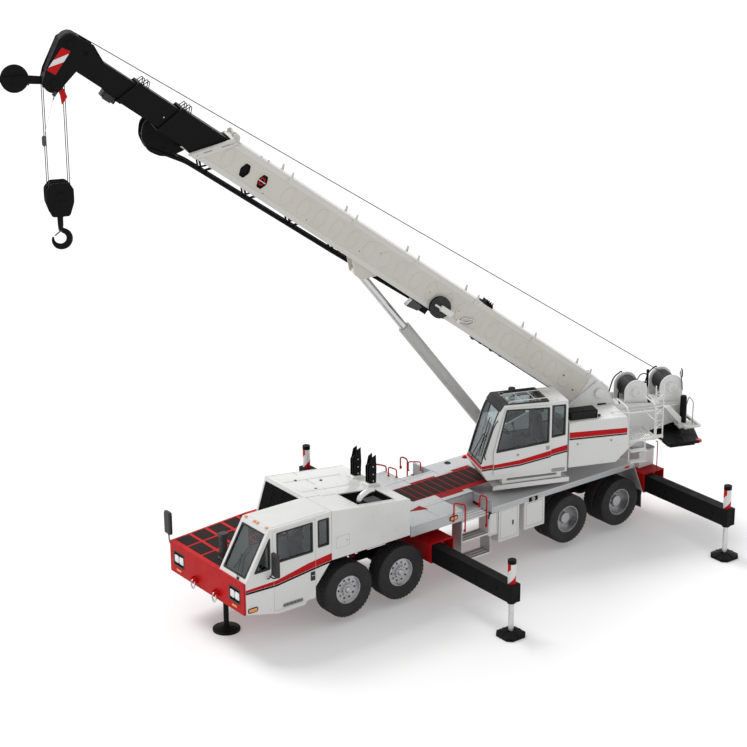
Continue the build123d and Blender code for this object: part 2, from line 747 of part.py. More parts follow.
half, low, high = box_section(0)
with BuildPart() as boom_base:
    slanted_box(-350, base_length, base_slant, half, low, high)
    side_prism([(-351, low - 1), (-351, high + 1), (-100, high + 1), (-351, 0)], -half - 1, half + 1, Mode.SUBTRACT)
    block((foot_pin_radius + 60, base_length + base_slant + 1), (-half + section_wall, half - section_wall),
          (low + section_wall, high - section_wall), Mode.SUBTRACT)
    for x in window_x:
        side_prism([(x - window_half_length, window_z), (x - window_half_length / 2, window_z + window_half_height),
                    (x + window_half_length / 2, window_z + window_half_height), (x + window_half_length, window_z),
                    (x + window_half_length / 2, window_z - window_half_height),
                    (x - window_half_length / 2, window_z - window_half_height)], -half - 1, half + 1, Mode.SUBTRACT)
    slide_pad(0, base_length)
    across(0, 0, foot_pin_radius + bearing_gap, -half - 1, half + 1, Mode.SUBTRACT)
    for side in (-1, 1):
        ear = sorted((side * 170, side * 200))
        side_prism([(lift_pin_x - 350, low + 1), (lift_pin_x + 350, low + 1), (lift_pin_x + 90, lift_pin_z - 90),
                    (lift_pin_x - 90, lift_pin_z - 90)], *ear)
    across(lift_pin_x, lift_pin_z, lift_pin_radius, -200, 200)
keep("boom_base", boom_base, BOOM)

section_end = [base_length + section_nose * index for index in range(4)]
section_start = [0, 1100, 2000, 2900]
for index in (1, 2):
    keep(f"boom_section_{index + 1}", make_section(index, section_start[index], section_end[index]), BOOM)

half, low, high = box_section(3)
with BuildPart() as boom_tip:
    block((section_start[3], tip_length), (-half, half), (low, high))
    block((section_start[3] - 1, tip_length - 300), (-half + section_wall, half - section_wall),
          (low + section_wall, high - section_wall), Mode.SUBTRACT)
    for side in (-1, 1):
        plate = sorted((side * half, side * (half - 25)))
        side_prism([(tip_length - 200, low), (tip_length - 200, high), (tip_length + 150, 260),
                    (head_sheave_x + 120, 200), (head_sheave_x + 220, 0), (nose_sheave_x + 260, nose_sheave_z + 100), (nose_sheave_x + 150, nose_sheave_z - 180),
                    (nose_sheave_x - 150, nose_sheave_z - 180), (nose_sheave_x - 230, low)], *plate)
    block((tip_length - 1, tip_length + 100), (-half, half), (low, high))
    for x, z in ((head_sheave_x, head_sheave_z), (nose_sheave_x, nose_sheave_z)):
        across(x, z, 40, -half, half)
        for y in (-120, -40, 40, 120):
            across(x, z, head_sheave_radius - 40, y - 25, y + 25)
    across(aux_sheave_x, aux_sheave_z, aux_sheave_radius, -25, 25)
    for y in (-50, 38):
        side_prism([(nose_sheave_x - 20, nose_sheave_z - 60), (nose_sheave_x + 30, nose_sheave_z + 60),
                    (aux_sheave_x + 50, aux_sheave_z + 50), (aux_sheave_x - 30, aux_sheave_z - 80)], y, y + 12)
    across(aux_sheave_x, aux_sheave_z, 35, -50, 50)
keep("boom_tip", boom_tip, BOOM)

jib_near = -base_half_width - jib_gap
jib_far = jib_near - jib_width
with BuildPart() as fly_jib:
    for low_y in (jib_near - jib_plate, jib_far):
        side_prism([(jib_rear, jib_top - jib_chord), (jib_rear, jib_top), (jib_front - 150, jib_top),
                    (jib_front, jib_top - 350), (jib_front, jib_low + 250), (jib_front - 150, jib_low),
                    (jib_front - 450, jib_low)], low_y, low_y + jib_plate)
    for index in range(jib_bays):
        near, far = (jib_rear + 700 + (jib_front - jib_rear - 1300) * step / jib_bays for step in (index, index + 1))
        near_low, far_low = (jib_low + (jib_top - jib_chord - jib_low) * (jib_front - 450 - x)
                             / (jib_front - 450 - jib_rear) + jib_chord for x in (near, far))
        side_prism([(near + 60, near_low), (near + 60, jib_top - jib_chord), (far, jib_top - jib_chord)],
                   jib_far - 1, jib_near + 1, Mode.SUBTRACT)
        side_prism([(near + 120, near_low - 10), (far + 30, far_low), (far + 30, jib_top - jib_chord - 60)],
                   jib_far - 1, jib_near + 1, Mode.SUBTRACT)
    for x in (jib_rear, jib_front - 500):
        block((x, x + 60), (jib_far, jib_near), (jib_top - jib_chord, jib_top))
    block((jib_front - 440, jib_front - 300), (jib_far, jib_near), (jib_low, jib_low + jib_chord))
    for x in jib_mount_x:
        block((x, x + 160), (jib_near - 1, -base_half_width - seat_gap), (jib_top - jib_chord, jib_top))
keep("fly_jib", fly_jib, BOOM)

# Lift cylinder, drawn in the superstructure's frame

tilt = radians(boom_angle)
pin_x = foot_x + lift_pin_x * cos(tilt) - lift_pin_z * sin(tilt)
pin_z = foot_z + lift_pin_x * sin(tilt) + lift_pin_z * cos(tilt)
cylinder_length = hypot(pin_x - cylinder_foot_x, pin_z - cylinder_foot_z)
cylinder_angle = degrees(atan2(pin_z - cylinder_foot_z, pin_x - cylinder_foot_x))
CYLINDER = SUPER * Location((cylinder_foot_x, 0, cylinder_foot_z), (0, -cylinder_angle, 0))


def along(radius, x_low, x_high, mode=Mode.ADD):
    with Locations(Location(((x_low + x_high) / 2, 0, 0), (0, 90, 0))):
        Cylinder(radius, x_high - x_low, mode=mode)


with BuildPart() as lift_barrel:
    across(0, 0, eye_radius, -eye_half_width, eye_half_width)
    along(barrel_radius, 60, barrel_length)
    along(rod_radius + 2, 250, barrel_length - 60, Mode.SUBTRACT)
    along(rod_radius + bearing_gap, 250, barrel_length + 1, Mode.SUBTRACT)
    across(0, 0, lift_pin_radius + bearing_gap, -eye_half_width - 1, eye_half_width + 1, Mode.SUBTRACT)
keep("lift_barrel", lift_barrel, CYLINDER)

with BuildPart() as lift_rod:
    along(rod_radius, rod_tail, cylinder_length - 60)
    across(cylinder_length, 0, eye_radius, -eye_half_width, eye_half_width)
    across(cylinder_length, 0, lift_pin_radius + bearing_gap, -eye_half_width - 1, eye_half_width + 1,
           Mode.SUBTRACT)
keep("lift_rod", lift_rod, CYLINDER)

# Hook block, hanging plumb under the head

head_x = foot_x + nose_sheave_x * cos(tilt) - nose_sheave_z * sin(tilt)
head_z = foot_z + nose_sheave_x * sin(tilt) + nose_sheave_z * cos(tilt)
HOOK = SUPER * Location((head_x, 0, head_z - hook_drop))
fall_x = head_sheave_radius - 40 + rope_radius + seat_gap
with BuildPart() as hoist_falls:
    for x in (-fall_x, fall_x):
        for y in (-rope_y, rope_y):
            upright(x, y, rope_radius, hook_sheave_z, hook_drop)
keep("hoist_falls", hoist_falls, HOOK)
with BuildPart() as hook_block:
    for low in (-hook_cheek_y - hook_cheek, -hook_cheek / 2, hook_cheek_y):
        side_prism([(-150, 330), (150, 330), (262, 210), (262, -60), (170, -325), (-170, -325), (-262, -60),
                    (-262, 210)], low, low + hook_cheek)
    for side in (-1, 1):
        across(0, hook_sheave_z, head_sheave_radius - 40, side * rope_y - 15, side * rope_y + 15)
    across(0, hook_sheave_z, 45, -hook_cheek_y - hook_cheek - 20, hook_cheek_y + hook_cheek + 20)
    block((-120, 120), (-hook_cheek_y - 1, hook_cheek_y + 1), (-325, -180))
    upright(0, 0, 60, hook_eye_z + 150, -324)
    with BuildSketch(Plane.XZ.offset(-35)):
        with Locations((0, hook_eye_z)):
            Circle(215)
            Circle(hook_eye_radius, mode=Mode.SUBTRACT)
        with Locations((-130, hook_eye_z + 90)):
            Rectangle(170, 110, mode=Mode.SUBTRACT)
    extrude(amount=70)
keep("hook_block", hook_block, HOOK)

# The whole crane is moved so that its origin is under the middle of its box

boxes = [piece.bounding_box() for piece in pieces.values()]
centre_x = (min(box.min.X for box in boxes) + max(box.max.X for box in boxes)) / 2
centre_y = (min(box.min.Y for box in boxes) + max(box.max.Y for box in boxes)) / 2
for name, piece in pieces.items():
    placed = piece.moved(Location((-centre_x, -centre_y, 0)))
    placed.label = name
    export_step(placed, f"parts/{name}.step")
print(len(pieces), "pieces, origin moved by", round(centre_x, 1), round(centre_y, 1))
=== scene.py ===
import json
from math import cos, pi, radians, sin

import bmesh
import bpy
from mathutils import Matrix, Vector


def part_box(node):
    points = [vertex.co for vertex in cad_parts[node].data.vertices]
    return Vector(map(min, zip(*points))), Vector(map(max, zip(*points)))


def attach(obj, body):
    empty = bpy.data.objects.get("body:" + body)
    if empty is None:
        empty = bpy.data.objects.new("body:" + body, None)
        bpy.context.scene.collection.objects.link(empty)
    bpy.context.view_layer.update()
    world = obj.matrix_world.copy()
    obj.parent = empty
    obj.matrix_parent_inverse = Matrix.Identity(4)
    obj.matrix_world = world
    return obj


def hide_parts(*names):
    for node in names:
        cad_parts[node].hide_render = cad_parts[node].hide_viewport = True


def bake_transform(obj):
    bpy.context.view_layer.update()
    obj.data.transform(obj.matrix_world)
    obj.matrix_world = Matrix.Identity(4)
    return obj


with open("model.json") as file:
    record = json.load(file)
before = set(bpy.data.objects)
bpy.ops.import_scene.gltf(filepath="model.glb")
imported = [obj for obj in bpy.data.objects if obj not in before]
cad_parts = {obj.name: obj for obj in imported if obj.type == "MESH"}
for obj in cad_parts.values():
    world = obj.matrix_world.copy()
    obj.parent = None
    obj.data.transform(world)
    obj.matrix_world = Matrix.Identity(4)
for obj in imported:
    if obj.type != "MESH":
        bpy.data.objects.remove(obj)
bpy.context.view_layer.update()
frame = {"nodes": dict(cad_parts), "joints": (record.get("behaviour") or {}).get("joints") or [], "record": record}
joints = {joint["name"]: joint for joint in frame["joints"]}

# Local frames, all taken from the joints: the carrier's middle, the superstructure with
# the boom along its X, the boom from its foot pin, and the hook.

SLEW_X = -1.95
HOOK_DROP = 2.24


def basis(origin, along, left):
    """A frame with its X along one direction and its Y along another."""
    along = Vector(along).normalized()
    left = Vector(left).normalized()
    up = along.cross(left)
    return Matrix((
        (along.x, left.x, up.x, origin[0]),
        (along.y, left.y, up.y, origin[1]),
        (along.z, left.z, up.z, origin[2]),
        (0, 0, 0, 1),
    ))


slew_pos = Vector(joints["slew"]["pos_m"])
boom_left = -Vector(joints["boom_lift"]["axis"])
boom_along = Vector(joints["telescope"]["axis"])
level_along = boom_left.cross(Vector((0, 0, 1)))
CARRIER = Matrix.Translation((slew_pos.x - SLEW_X, slew_pos.y, 0))
SUPER = basis((slew_pos.x, slew_pos.y, 0), level_along, boom_left)
BOOM = basis(joints["boom_lift"]["pos_m"], boom_along, boom_left)
HEAD = Vector(joints["falls_hang"]["pos_m"])
HOOK = basis(HEAD - Vector((0, 0, HOOK_DROP)), level_along, boom_left)

# Camera

PHOTO_SIZE = 747
CAMERA_PLACE = Vector((25.37, 30.85, 18.44))
CAMERA_YAW = 232.83
CAMERA_PITCH = -19.84
CAMERA_ROLL = -0.27
FOCAL_PIXELS = 2097.0
SENSOR = 36.0
FLOOR_HALF = 400


def make_camera():
    data = bpy.data.cameras.new("camera")
    camera = bpy.data.objects.new("camera", data)
    bpy.context.scene.collection.objects.link(camera)
    yaw = radians(CAMERA_YAW)
    pitch = radians(CAMERA_PITCH)
    forward = Vector((cos(pitch) * cos(yaw), cos(pitch) * sin(yaw), sin(pitch)))
    turn = forward.to_track_quat("-Z", "Y").to_matrix().to_4x4()
    roll = Matrix.Rotation(radians(CAMERA_ROLL), 4, "Z")
    camera.matrix_world = Matrix.Translation(CARRIER @ CAMERA_PLACE) @ turn @ roll
    data.sensor_width = SENSOR
    data.sensor_fit = "HORIZONTAL"
    data.lens = FOCAL_PIXELS * SENSOR / PHOTO_SIZE
    data.clip_end = FLOOR_HALF
    bpy.context.scene.camera = camera


make_camera()

# Floor, world and lamps

LIGHT_LEVEL = 0.62
SUN_LEVEL = 1.9
SUN_WAY = Vector((-0.12, 0.62, -1.0))
FLOOR_COLOUR = 0.8
FLOOR_GLOW = 0.2


def seen_directly(tree):
    """1 for camera, glossy and transmission rays, and 0 for the light that falls on things."""
    nodes, links = tree.nodes, tree.links
    path = nodes.new("ShaderNodeLightPath")
    either = nodes.new("ShaderNodeMath")
    either.operation = "MAXIMUM"
    links.new(path.outputs["Is Camera Ray"], either.inputs[0])
    links.new(path.outputs["Is Glossy Ray"], either.inputs[1])
    total = nodes.new("ShaderNodeMath")
    total.operation = "MAXIMUM"
    links.new(either.outputs[0], total.inputs[0])
    links.new(path.outputs["Is Transmission Ray"], total.inputs[1])
    return total.outputs[0]


def make_world():
    world = bpy.data.worlds.new("studio")
    bpy.context.scene.world = world
    world.use_nodes = True
    tree = world.node_tree
    background = tree.nodes["Background"]
    background.inputs["Color"].default_value = (1, 1, 1, 1)
    level = tree.nodes.new("ShaderNodeMapRange")
    level.inputs["To Min"].default_value = LIGHT_LEVEL
    level.inputs["To Max"].default_value = 1.0
    tree.links.new(seen_directly(tree), level.inputs["Value"])
    tree.links.new(level.outputs["Result"], background.inputs["Strength"])


def make_floor():
    mesh = bpy.data.meshes.new("floor")
    corners = [(x * FLOOR_HALF, y * FLOOR_HALF, 0) for x, y in ((-1, -1), (1, -1), (1, 1), (-1, 1))]
    mesh.from_pydata(corners, [], [(0, 1, 2, 3)])
    floor = bpy.data.objects.new("floor", mesh)
    bpy.context.scene.collection.objects.link(floor)
    material = bpy.data.materials.new("floor")
    material.use_nodes = True
    tree = material.node_tree
    shader = tree.nodes["Principled BSDF"]
    shader.inputs["Base Color"].default_value = (FLOOR_COLOUR, FLOOR_COLOUR, FLOOR_COLOUR, 1)
    shader.inputs["Roughness"].default_value = 1.0
    shader.inputs["Specular IOR Level"].default_value = 0.0
    shader.inputs["Emission Color"].default_value = (1, 1, 1, 1)
    glow = tree.nodes.new("ShaderNodeMath")
    glow.operation = "MULTIPLY"
    glow.inputs[1].default_value = FLOOR_GLOW
    tree.links.new(seen_directly(tree), glow.inputs[0])
    tree.links.new(glow.outputs[0], shader.inputs["Emission Strength"])
    mesh.materials.append(material)


def make_sun():
    data = bpy.data.lights.new("sun", "SUN")
    data.energy = SUN_LEVEL
    data.angle = radians(28)
    sun = bpy.data.objects.new("sun", data)
    bpy.context.scene.collection.objects.link(sun)
    sun.rotation_euler = SUN_WAY.to_track_quat("-Z", "Y").to_euler()


make_world()
make_floor()
make_sun()
bpy.context.scene.view_settings.view_transform = "Standard"

# Materials, all worked out in the piece's own coordinates


class Finish:
    """A material with its shader and a few helpers for its nodes."""

    def __init__(self, name, colour, roughness, metallic=0.0, coat=0.0, specular=0.5):
        self.material = bpy.data.materials.new(name)
        self.material.use_nodes = True
        self.tree = self.material.node_tree
        self.shader = self.tree.nodes["Principled BSDF"]
        self.colour = colour
        self.roughness = roughness
        self.set("Base Color", (*colour, 1))
        self.set("Roughness", roughness)
        self.set("Metallic", metallic)
        self.set("Coat Weight", coat)
        self.set("Coat Roughness", 0.08)
        self.set("Specular IOR Level", specular)
        self.place = self.node("ShaderNodeTexCoord").outputs["Object"]

    def set(self, socket, value):
        self.shader.inputs[socket].default_value = value

    def node(self, kind, **settings):
        made = self.tree.nodes.new(kind)
        for key, value in settings.items():
            setattr(made, key, value)
        return made

    def link(self, source, target):
        self.tree.links.new(source, target)

    def noise(self, scale, detail=4.0, rough=0.6):
        made = self.node("ShaderNodeTexNoise")
        made.inputs["Scale"].default_value = scale
        made.inputs["Detail"].default_value = detail
        made.inputs["Roughness"].default_value = rough
        self.link(self.place, made.inputs["Vector"])
        return made.outputs["Fac"]

    def spread(self, value, low, high, from_low=0.0, from_high=1.0):
        made = self.node("ShaderNodeMapRange")
        made.inputs["From Min"].default_value = from_low
        made.inputs["From Max"].default_value = from_high
        made.inputs["To Min"].default_value = low
        made.inputs["To Max"].default_value = high
        self.link(value, made.inputs["Value"])
        return made.outputs["Result"]

    def blend_colours(self, factor, first, second):
        made = self.node("ShaderNodeMix", data_type="RGBA")
        for socket, value in ((made.inputs[6], first), (made.inputs[7], second)):
            if isinstance(value, tuple):
                socket.default_value = (*value, 1)
            else:
                self.link(value, socket)
        self.link(factor, made.inputs[0])
        return made.outputs[2]

    def mottle(self, amount, scale, tint=None):
        """Varies the colour gently, towards a darker or a given tone."""
        dark = tint or tuple(c * (1 - amount) for c in self.colour)
        factor = self.spread(self.noise(scale), 0.0, 1.0, 0.35, 0.75)
        self.link(self.blend_colours(factor, self.colour, dark), self.shader.inputs["Base Color"])
        return self

    def uneven(self, amount, scale):
        """Varies the roughness."""
        value = self.spread(self.noise(scale), self.roughness - amount, self.roughness + amount, 0.3, 0.7)
        self.link(value, self.shader.inputs["Roughness"])
        return self

    def bump(self, height, distance, strength=1.0):
        made = self.node("ShaderNodeBump")
        made.inputs["Distance"].default_value = distance
        made.inputs["Strength"].default_value = strength
        self.link(height, made.inputs["Height"])
        self.link(made.outputs["Normal"], self.shader.inputs["Normal"])
        return self

    def grain(self, scale, distance, strength=0.5):
        return self.bump(self.noise(scale, 6.0), distance, strength)

    def maths(self, operation, first, second=None):
        made = self.node("ShaderNodeMath", operation=operation)
        for socket, value in zip(made.inputs, (first, second)):
            if value is None:
                continue
            if isinstance(value, (int, float)):
                socket.default_value = value
            else:
                self.link(value, socket)
        return made.outputs[0]

    def flat_place(self):
        """Two coordinates along the surface, chosen by the way that it faces."""
        place = self.node("ShaderNodeSeparateXYZ")
        self.link(self.place, place.inputs[0])
        facing = self.node("ShaderNodeSeparateXYZ")
        self.link(self.node("ShaderNodeTexCoord").outputs["Normal"], facing.inputs[0])
        top = self.maths("GREATER_THAN", self.maths("ABSOLUTE", facing.outputs["Z"]), 0.7)
        end = self.maths("GREATER_THAN", self.maths("ABSOLUTE", facing.outputs["X"]), 0.7)
        u = self.node("ShaderNodeMix")
        self.link(end, u.inputs[0])
        self.link(place.outputs["X"], u.inputs[2])
        self.link(place.outputs["Y"], u.inputs[3])
        v = self.node("ShaderNodeMix")
        self.link(top, v.inputs[0])
        self.link(place.outputs["Z"], v.inputs[2])
        self.link(place.outputs["Y"], v.inputs[3])
        return u.outputs[0], v.outputs[0]


def paint(name, colour, roughness=0.32, coat=0.25, wear=0.05):
    finish = Finish(name, colour, roughness, coat=coat)
    return finish.mottle(wear, 1.7).uneven(0.06, 6.0).grain(260.0, 0.0004, 0.25)


def matt(name, colour, roughness, specular, worn):
    """Paint that shows little of the sky."""
    finish = Finish(name, colour, roughness, specular=specular)
    return finish.mottle(0.3, 2.0, worn).uneven(0.08, 7.0).grain(300.0, 0.0004, 0.25)


def metal(name, colour, roughness, wear=0.15):
    finish = Finish(name, colour, roughness, metallic=1.0)
    return finish.mottle(wear, 9.0).uneven(0.08, 14.0).grain(420.0, 0.0004, 0.3)


BAR_PITCH = 0.034
THREAD_PITCH = 0.004


def tread_plate(name):
    """Light plate with crossed raised bars."""
    finish = Finish(name, (0.55, 0.56, 0.57), 0.42, metallic=0.55)
    u, v = finish.flat_place()
    pitch = 2 * pi / BAR_PITCH
    first = finish.maths("SINE", finish.maths("MULTIPLY", finish.maths("ADD", u, v), pitch))
    second = finish.maths("SINE", finish.maths("MULTIPLY", finish.maths("SUBTRACT", u, v), pitch))
    bars = finish.maths("GREATER_THAN", finish.maths("MULTIPLY", first, second), 0.45)
    finish.link(finish.blend_colours(finish.spread(bars, 0, 1), (0.44, 0.45, 0.46), (0.68, 0.69, 0.7)),
                finish.shader.inputs["Base Color"])
    return finish.bump(bars, 0.0015, 0.8)


def rubber(name, colour=(0.02, 0.02, 0.021), roughness=0.72):
    finish = Finish(name, colour, roughness, specular=0.35)
    return finish.mottle(0.4, 5.0, (0.032, 0.031, 0.03)).grain(160.0, 0.0008, 0.5)


def woven(name, colour):
    finish = Finish(name, colour, 0.85, specular=0.2)
    u, v = finish.flat_place()
    thread = 2 * pi / THREAD_PITCH
    over = finish.maths("SINE", finish.maths("MULTIPLY", u, thread))
    under = finish.maths("SINE", finish.maths("MULTIPLY", v, thread))
    finish.mottle(0.3, 8.0)
    finish.set("Sheen Weight", 0.3)
    return finish.bump(finish.maths("MULTIPLY", over, under), 0.0006, 0.6)


def glass(name, colour, roughness=0.02):
    finish = Finish(name, colour, roughness)
    finish.set("Transmission Weight", 1.0)
    finish.set("IOR", 1.45)
    return finish


def lamp_lens(name, colour, glow=0.0):
    finish = Finish(name, colour, 0.12, coat=1.0)
    finish.set("Emission Color", (*colour, 1))
    finish.set("Emission Strength", glow)
    return finish.mottle(0.2, 90.0)


def wound_rope(name, colour):
    finish = Finish(name, colour, 0.5, metallic=0.3)
    wave = finish.node("ShaderNodeTexWave", wave_type="BANDS", bands_direction="DIAGONAL")
    wave.inputs["Scale"].default_value = 60.0
    finish.link(finish.place, wave.inputs["Vector"])
    finish.mottle(0.4, 30.0)
    return finish.bump(wave.outputs["Fac"], 0.002, 0.6)


FINISHES = {
    "white": paint("white_paint", (0.80, 0.80, 0.79)),
    "red": matt("red_paint", (0.56, 0.008, 0.010), 0.45, 0.12, (0.48, 0.008, 0.010)),
    "cream": paint("cream_paint", (0.67, 0.64, 0.58), 0.4, 0.1),
    "flange": paint("flange_paint", (0.70, 0.69, 0.65), 0.4, 0.1),
    "deck_red": matt("deck_red_paint", (0.33, 0.010, 0.012), 0.6, 0.08, (0.24, 0.010, 0.012)),
    "black": matt("black_paint", (0.006, 0.006, 0.0065), 0.45, 0.08, (0.007, 0.007, 0.0073)),
    "chassis": matt("chassis_paint", (0.008, 0.008, 0.009), 0.55, 0.08, (0.011, 0.010, 0.010)),
    "grey": paint("grey_paint", (0.36, 0.36, 0.37), 0.4, 0.1),
    "cylinder": paint("cylinder_paint", (0.50, 0.50, 0.49), 0.34, 0.2),
    "iron": paint("cast_iron", (0.06, 0.06, 0.062), 0.6, 0.0, 0.3),
    "plate": tread_plate("tread_plate"),
    "grip": Finish("grip_panel", (0.03, 0.021, 0.02), 0.9, specular=0.15).mottle(0.3, 12.0).grain(300.0, 0.002, 0.9),
    "rubber": rubber("tyre_rubber"),
    "hose": rubber("hose_rubber", (0.012, 0.012, 0.012), 0.5),
    "plastic": Finish("black_plastic", (0.016, 0.016, 0.017), 0.55).mottle(0.2, 20.0).grain(500.0, 0.0005, 0.4),
    "aluminium": metal("wheel_aluminium", (0.52, 0.52, 0.53), 0.3, 0.1),
    "steel": metal("bright_steel", (0.62, 0.62, 0.63), 0.3),
    "chrome": metal("chrome_rod", (0.58, 0.58, 0.58), 0.2, 0.04),
    "rope": wound_rope("wire_rope", (0.045, 0.045, 0.047)),
    "glass": glass("cab_glass", (0.52, 0.58, 0.59)),
    "mirror": metal("mirror_glass", (0.85, 0.86, 0.87), 0.05, 0.02),
    "seat": woven("seat_fabric", (0.045, 0.045, 0.05)),
    "lining": Finish("cab_lining", (0.18, 0.18, 0.18), 0.8).mottle(0.2, 6.0).grain(200.0, 0.001, 0.4),
    # Near-black, for painted shade in holes, slots, recesses and openings, and for dark joints and seams
    "dark": Finish("shade_and_joint_black", (0.006, 0.006, 0.006), 0.85, specular=0.1).mottle(0.3, 10.0).grain(90.0, 0.002, 0.5),
    "lamp": lamp_lens("lamp_glass", (0.82, 0.83, 0.85), 0.12),
    "amber": lamp_lens("amber_lens", (0.85, 0.30, 0.02), 0.1),
    "red_lens": lamp_lens("red_lens", (0.55, 0.01, 0.01), 0.1),
}

SLOT_FINISH = {
    "chassis_black": "chassis", "axle_iron": "iron", "tread_plate": "plate", "body_white": "white",
    "body_red": "red", "boom_cream": "cream", "boom_black": "black", "ballast": "black",
    "engine_iron": "iron", "winch_iron": "iron", "cylinder_grey": "cylinder", "chrome_rod": "chrome",
    "wire_rope": "rope", "seat_fabric": "seat", "tyre_rubber": "rubber", "wheel_aluminium": "aluminium",
}
NODE_FINISH = {"frame": "red", "winch_frames": "white", "winch_drum_front": "white", "winch_drum_rear": "white"}


def dress_nodes():
    """Gives every carried-over node its finish."""
    slots = {entry["node"]: entry["material_slot"] for entry in frame["record"]["subparts"]}
    for name, node in frame["nodes"].items():
        finish = FINISHES[NODE_FINISH.get(name, SLOT_FINISH[slots[name]])]
        node.data.materials.clear()
        node.data.materials.append(finish.material)


dress_nodes()

# Shapes

LAID = {"X": lambda a, b, c: (c, a, b), "Y": lambda a, b, c: (a, c, b), "Z": lambda a, b, c: (a, b, c)}
LATHE_WAYS = {"X": ((0, 1, 0), (0, 0, 1), (1, 0, 0)), "Y": ((0, 0, 1), (1, 0, 0), (0, 1, 0)),
              "Z": ((1, 0, 0), (0, 1, 0), (0, 0, 1))}
MERGE = 1e-6
BEVEL_FROM = 40


def rect(x0, x1, y0, y1):
    return [(x0, y0), (x1, y0), (x1, y1), (x0, y1)]


def circle(centre, radius, side, other, count):
    return [centre + radius * (cos(2 * pi * i / count) * side + sin(2 * pi * i / count) * other)
            for i in range(count)]


def closed_up(mesh):
    """Joins points that touch and turns every face outwards."""
    bmesh.ops.remove_doubles(mesh, verts=mesh.verts, dist=MERGE)
    bmesh.ops.recalc_face_normals(mesh, faces=mesh.faces)


class Shape:
    """Collects solids drawn in one local frame, in metres, and makes them one piece."""

    def __init__(self, place=CARRIER):
        self.mesh = bmesh.new()
        self.place = place

    def faces(self, rings, closed=True, caps=True):
        """Skins a row of rings of points."""
        made = [[self.mesh.verts.new(point) for point in ring] for ring in rings]
        count = len(made[0])
        for low, high in zip(made, made[1:]):
            for i in range(count if closed else count - 1):
                j = (i + 1) % count
                self.mesh.faces.new((low[i], low[j], high[j], high[i]))
        if caps and count > 2:
            self.mesh.faces.new(made[0][::-1])
            self.mesh.faces.new(made[-1])
        return self

    def box(self, x, y, z):
        (x0, x1), (y0, y1), (z0, z1) = sorted(x), sorted(y), sorted(z)
        return self.faces([[(a, b, c) for a, b in rect(x0, x1, y0, y1)] for c in (z0, z1)])

    def prism(self, outline, low, high, axis="Y"):
        """An outline drawn across one axis and drawn out along it."""
        return self.faces([[LAID[axis](a, b, c) for a, b in outline] for c in (low, high)])

    def frame(self, outer, inner, low, high, axis="Y"):
        """A flat band between two outlines with as many points."""
        rings = [[LAID[axis](a, b, c) for a, b in outline]
                 for outline, c in ((outer, low), (outer, high), (inner, high), (inner, low), (outer, low))]
        return self.faces(rings, caps=False)

    def rod(self, start, end, radius, sides=16, tip=None):
        """A round bar, or a cone where its tip has its own radius."""
        start, end = Vector(start), Vector(end)
        way = (end - start).normalized()
        side = way.orthogonal().normalized()
        other = way.cross(side)
        tip = radius if tip is None else tip
        return self.faces([circle(start, radius, side, other, sides), circle(end, tip, side, other, sides)])

    def tube(self, points, radius, sides=10, bend=0.0, steps=4):
        """A round bar along a line, with its corners rounded."""
        line = rounded([Vector(point) for point in points], bend, steps)
        rings, side = [], None
        for i, point in enumerate(line):
            way = (line[min(i + 1, len(line) - 1)] - line[max(i - 1, 0)]).normalized()
            side = way.orthogonal() if side is None else side - way * side.dot(way)
            side.normalize()
            rings.append(circle(point, radius, side, way.cross(side), sides))
        return self.faces(rings)

    def lathe(self, profile, centre, axis="Y", sides=48, closed=False):
        """Turns (radius, along) points about an axis."""
        centre = Vector(centre)
        first, second, along = (Vector(way) for way in LATHE_WAYS[axis])
        line = profile + profile[:1] if closed else profile
        return self.faces([circle(centre + far * along, radius, first, second, sides) for radius, far in line],
                          caps=not closed)

    def ball(self, centre, radius, squash=(1, 1, 1)):
        made = bmesh.ops.create_uvsphere(self.mesh, u_segments=20, v_segments=12, radius=radius)
        grow = Matrix.Diagonal((*squash, 1))
        bmesh.ops.transform(self.mesh, matrix=Matrix.Translation(centre) @ grow, verts=made["verts"])
        return self

    def piece(self, name, body, finish, bevel=0.0, sharp=35, replaces=()):
        """Ends the shape: one object that rides on a body, or that stands free when the body is not a name."""
        closed_up(self.mesh)
        self.mesh.transform(self.place)
        data = bpy.data.meshes.new(name)
        self.mesh.to_mesh(data)
        self.mesh.free()
        data.shade_smooth()
        data.set_sharp_from_angle(angle=radians(sharp))
        data.materials.append(FINISHES[finish].material)
        made = bpy.data.objects.new(name, data)
        bpy.context.scene.collection.objects.link(made)
        if bevel:
            edges = made.modifiers.new("edges", "BEVEL")
            edges.width = bevel
            edges.segments = 2
            edges.limit_method = "ANGLE"
            edges.angle_limit = radians(BEVEL_FROM)
            edges.harden_normals = True
        if isinstance(body, str):
            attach(made, body)
        else:
            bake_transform(made)
        if replaces:
            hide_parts(*replaces)
        return made


def curve(before, corner, after, radius, steps):
    """The short curve that takes the place of a corner."""
    reach = min(radius, (corner - before).length / 2, (after - corner).length / 2)
    start = corner + (before - corner).normalized() * reach
    end = corner + (after - corner).normalized() * reach
    parts = [i / steps for i in range(steps + 1)]
    return [start * (1 - t) ** 2 + corner * 2 * t * (1 - t) + end * t ** 2 for t in parts]


def rounded(points, bend, steps):
    """The line with each corner replaced by a short curve."""
    if not bend:
        return points
    line = [points[0]]
    for before, corner, after in zip(points, points[1:], points[2:]):
        line += curve(before, corner, after, bend, steps)
    return line + [points[-1]]


def corners(outline, radius, steps=3):
    """A flat outline with its corners rounded."""
    made = []
    for i, corner in enumerate(outline):
        before, after = Vector(outline[i - 1]), Vector(outline[(i + 1) % len(outline)])
        made += [(point.x, point.y) for point in curve(before, Vector(corner), after, radius, steps)]
    return made


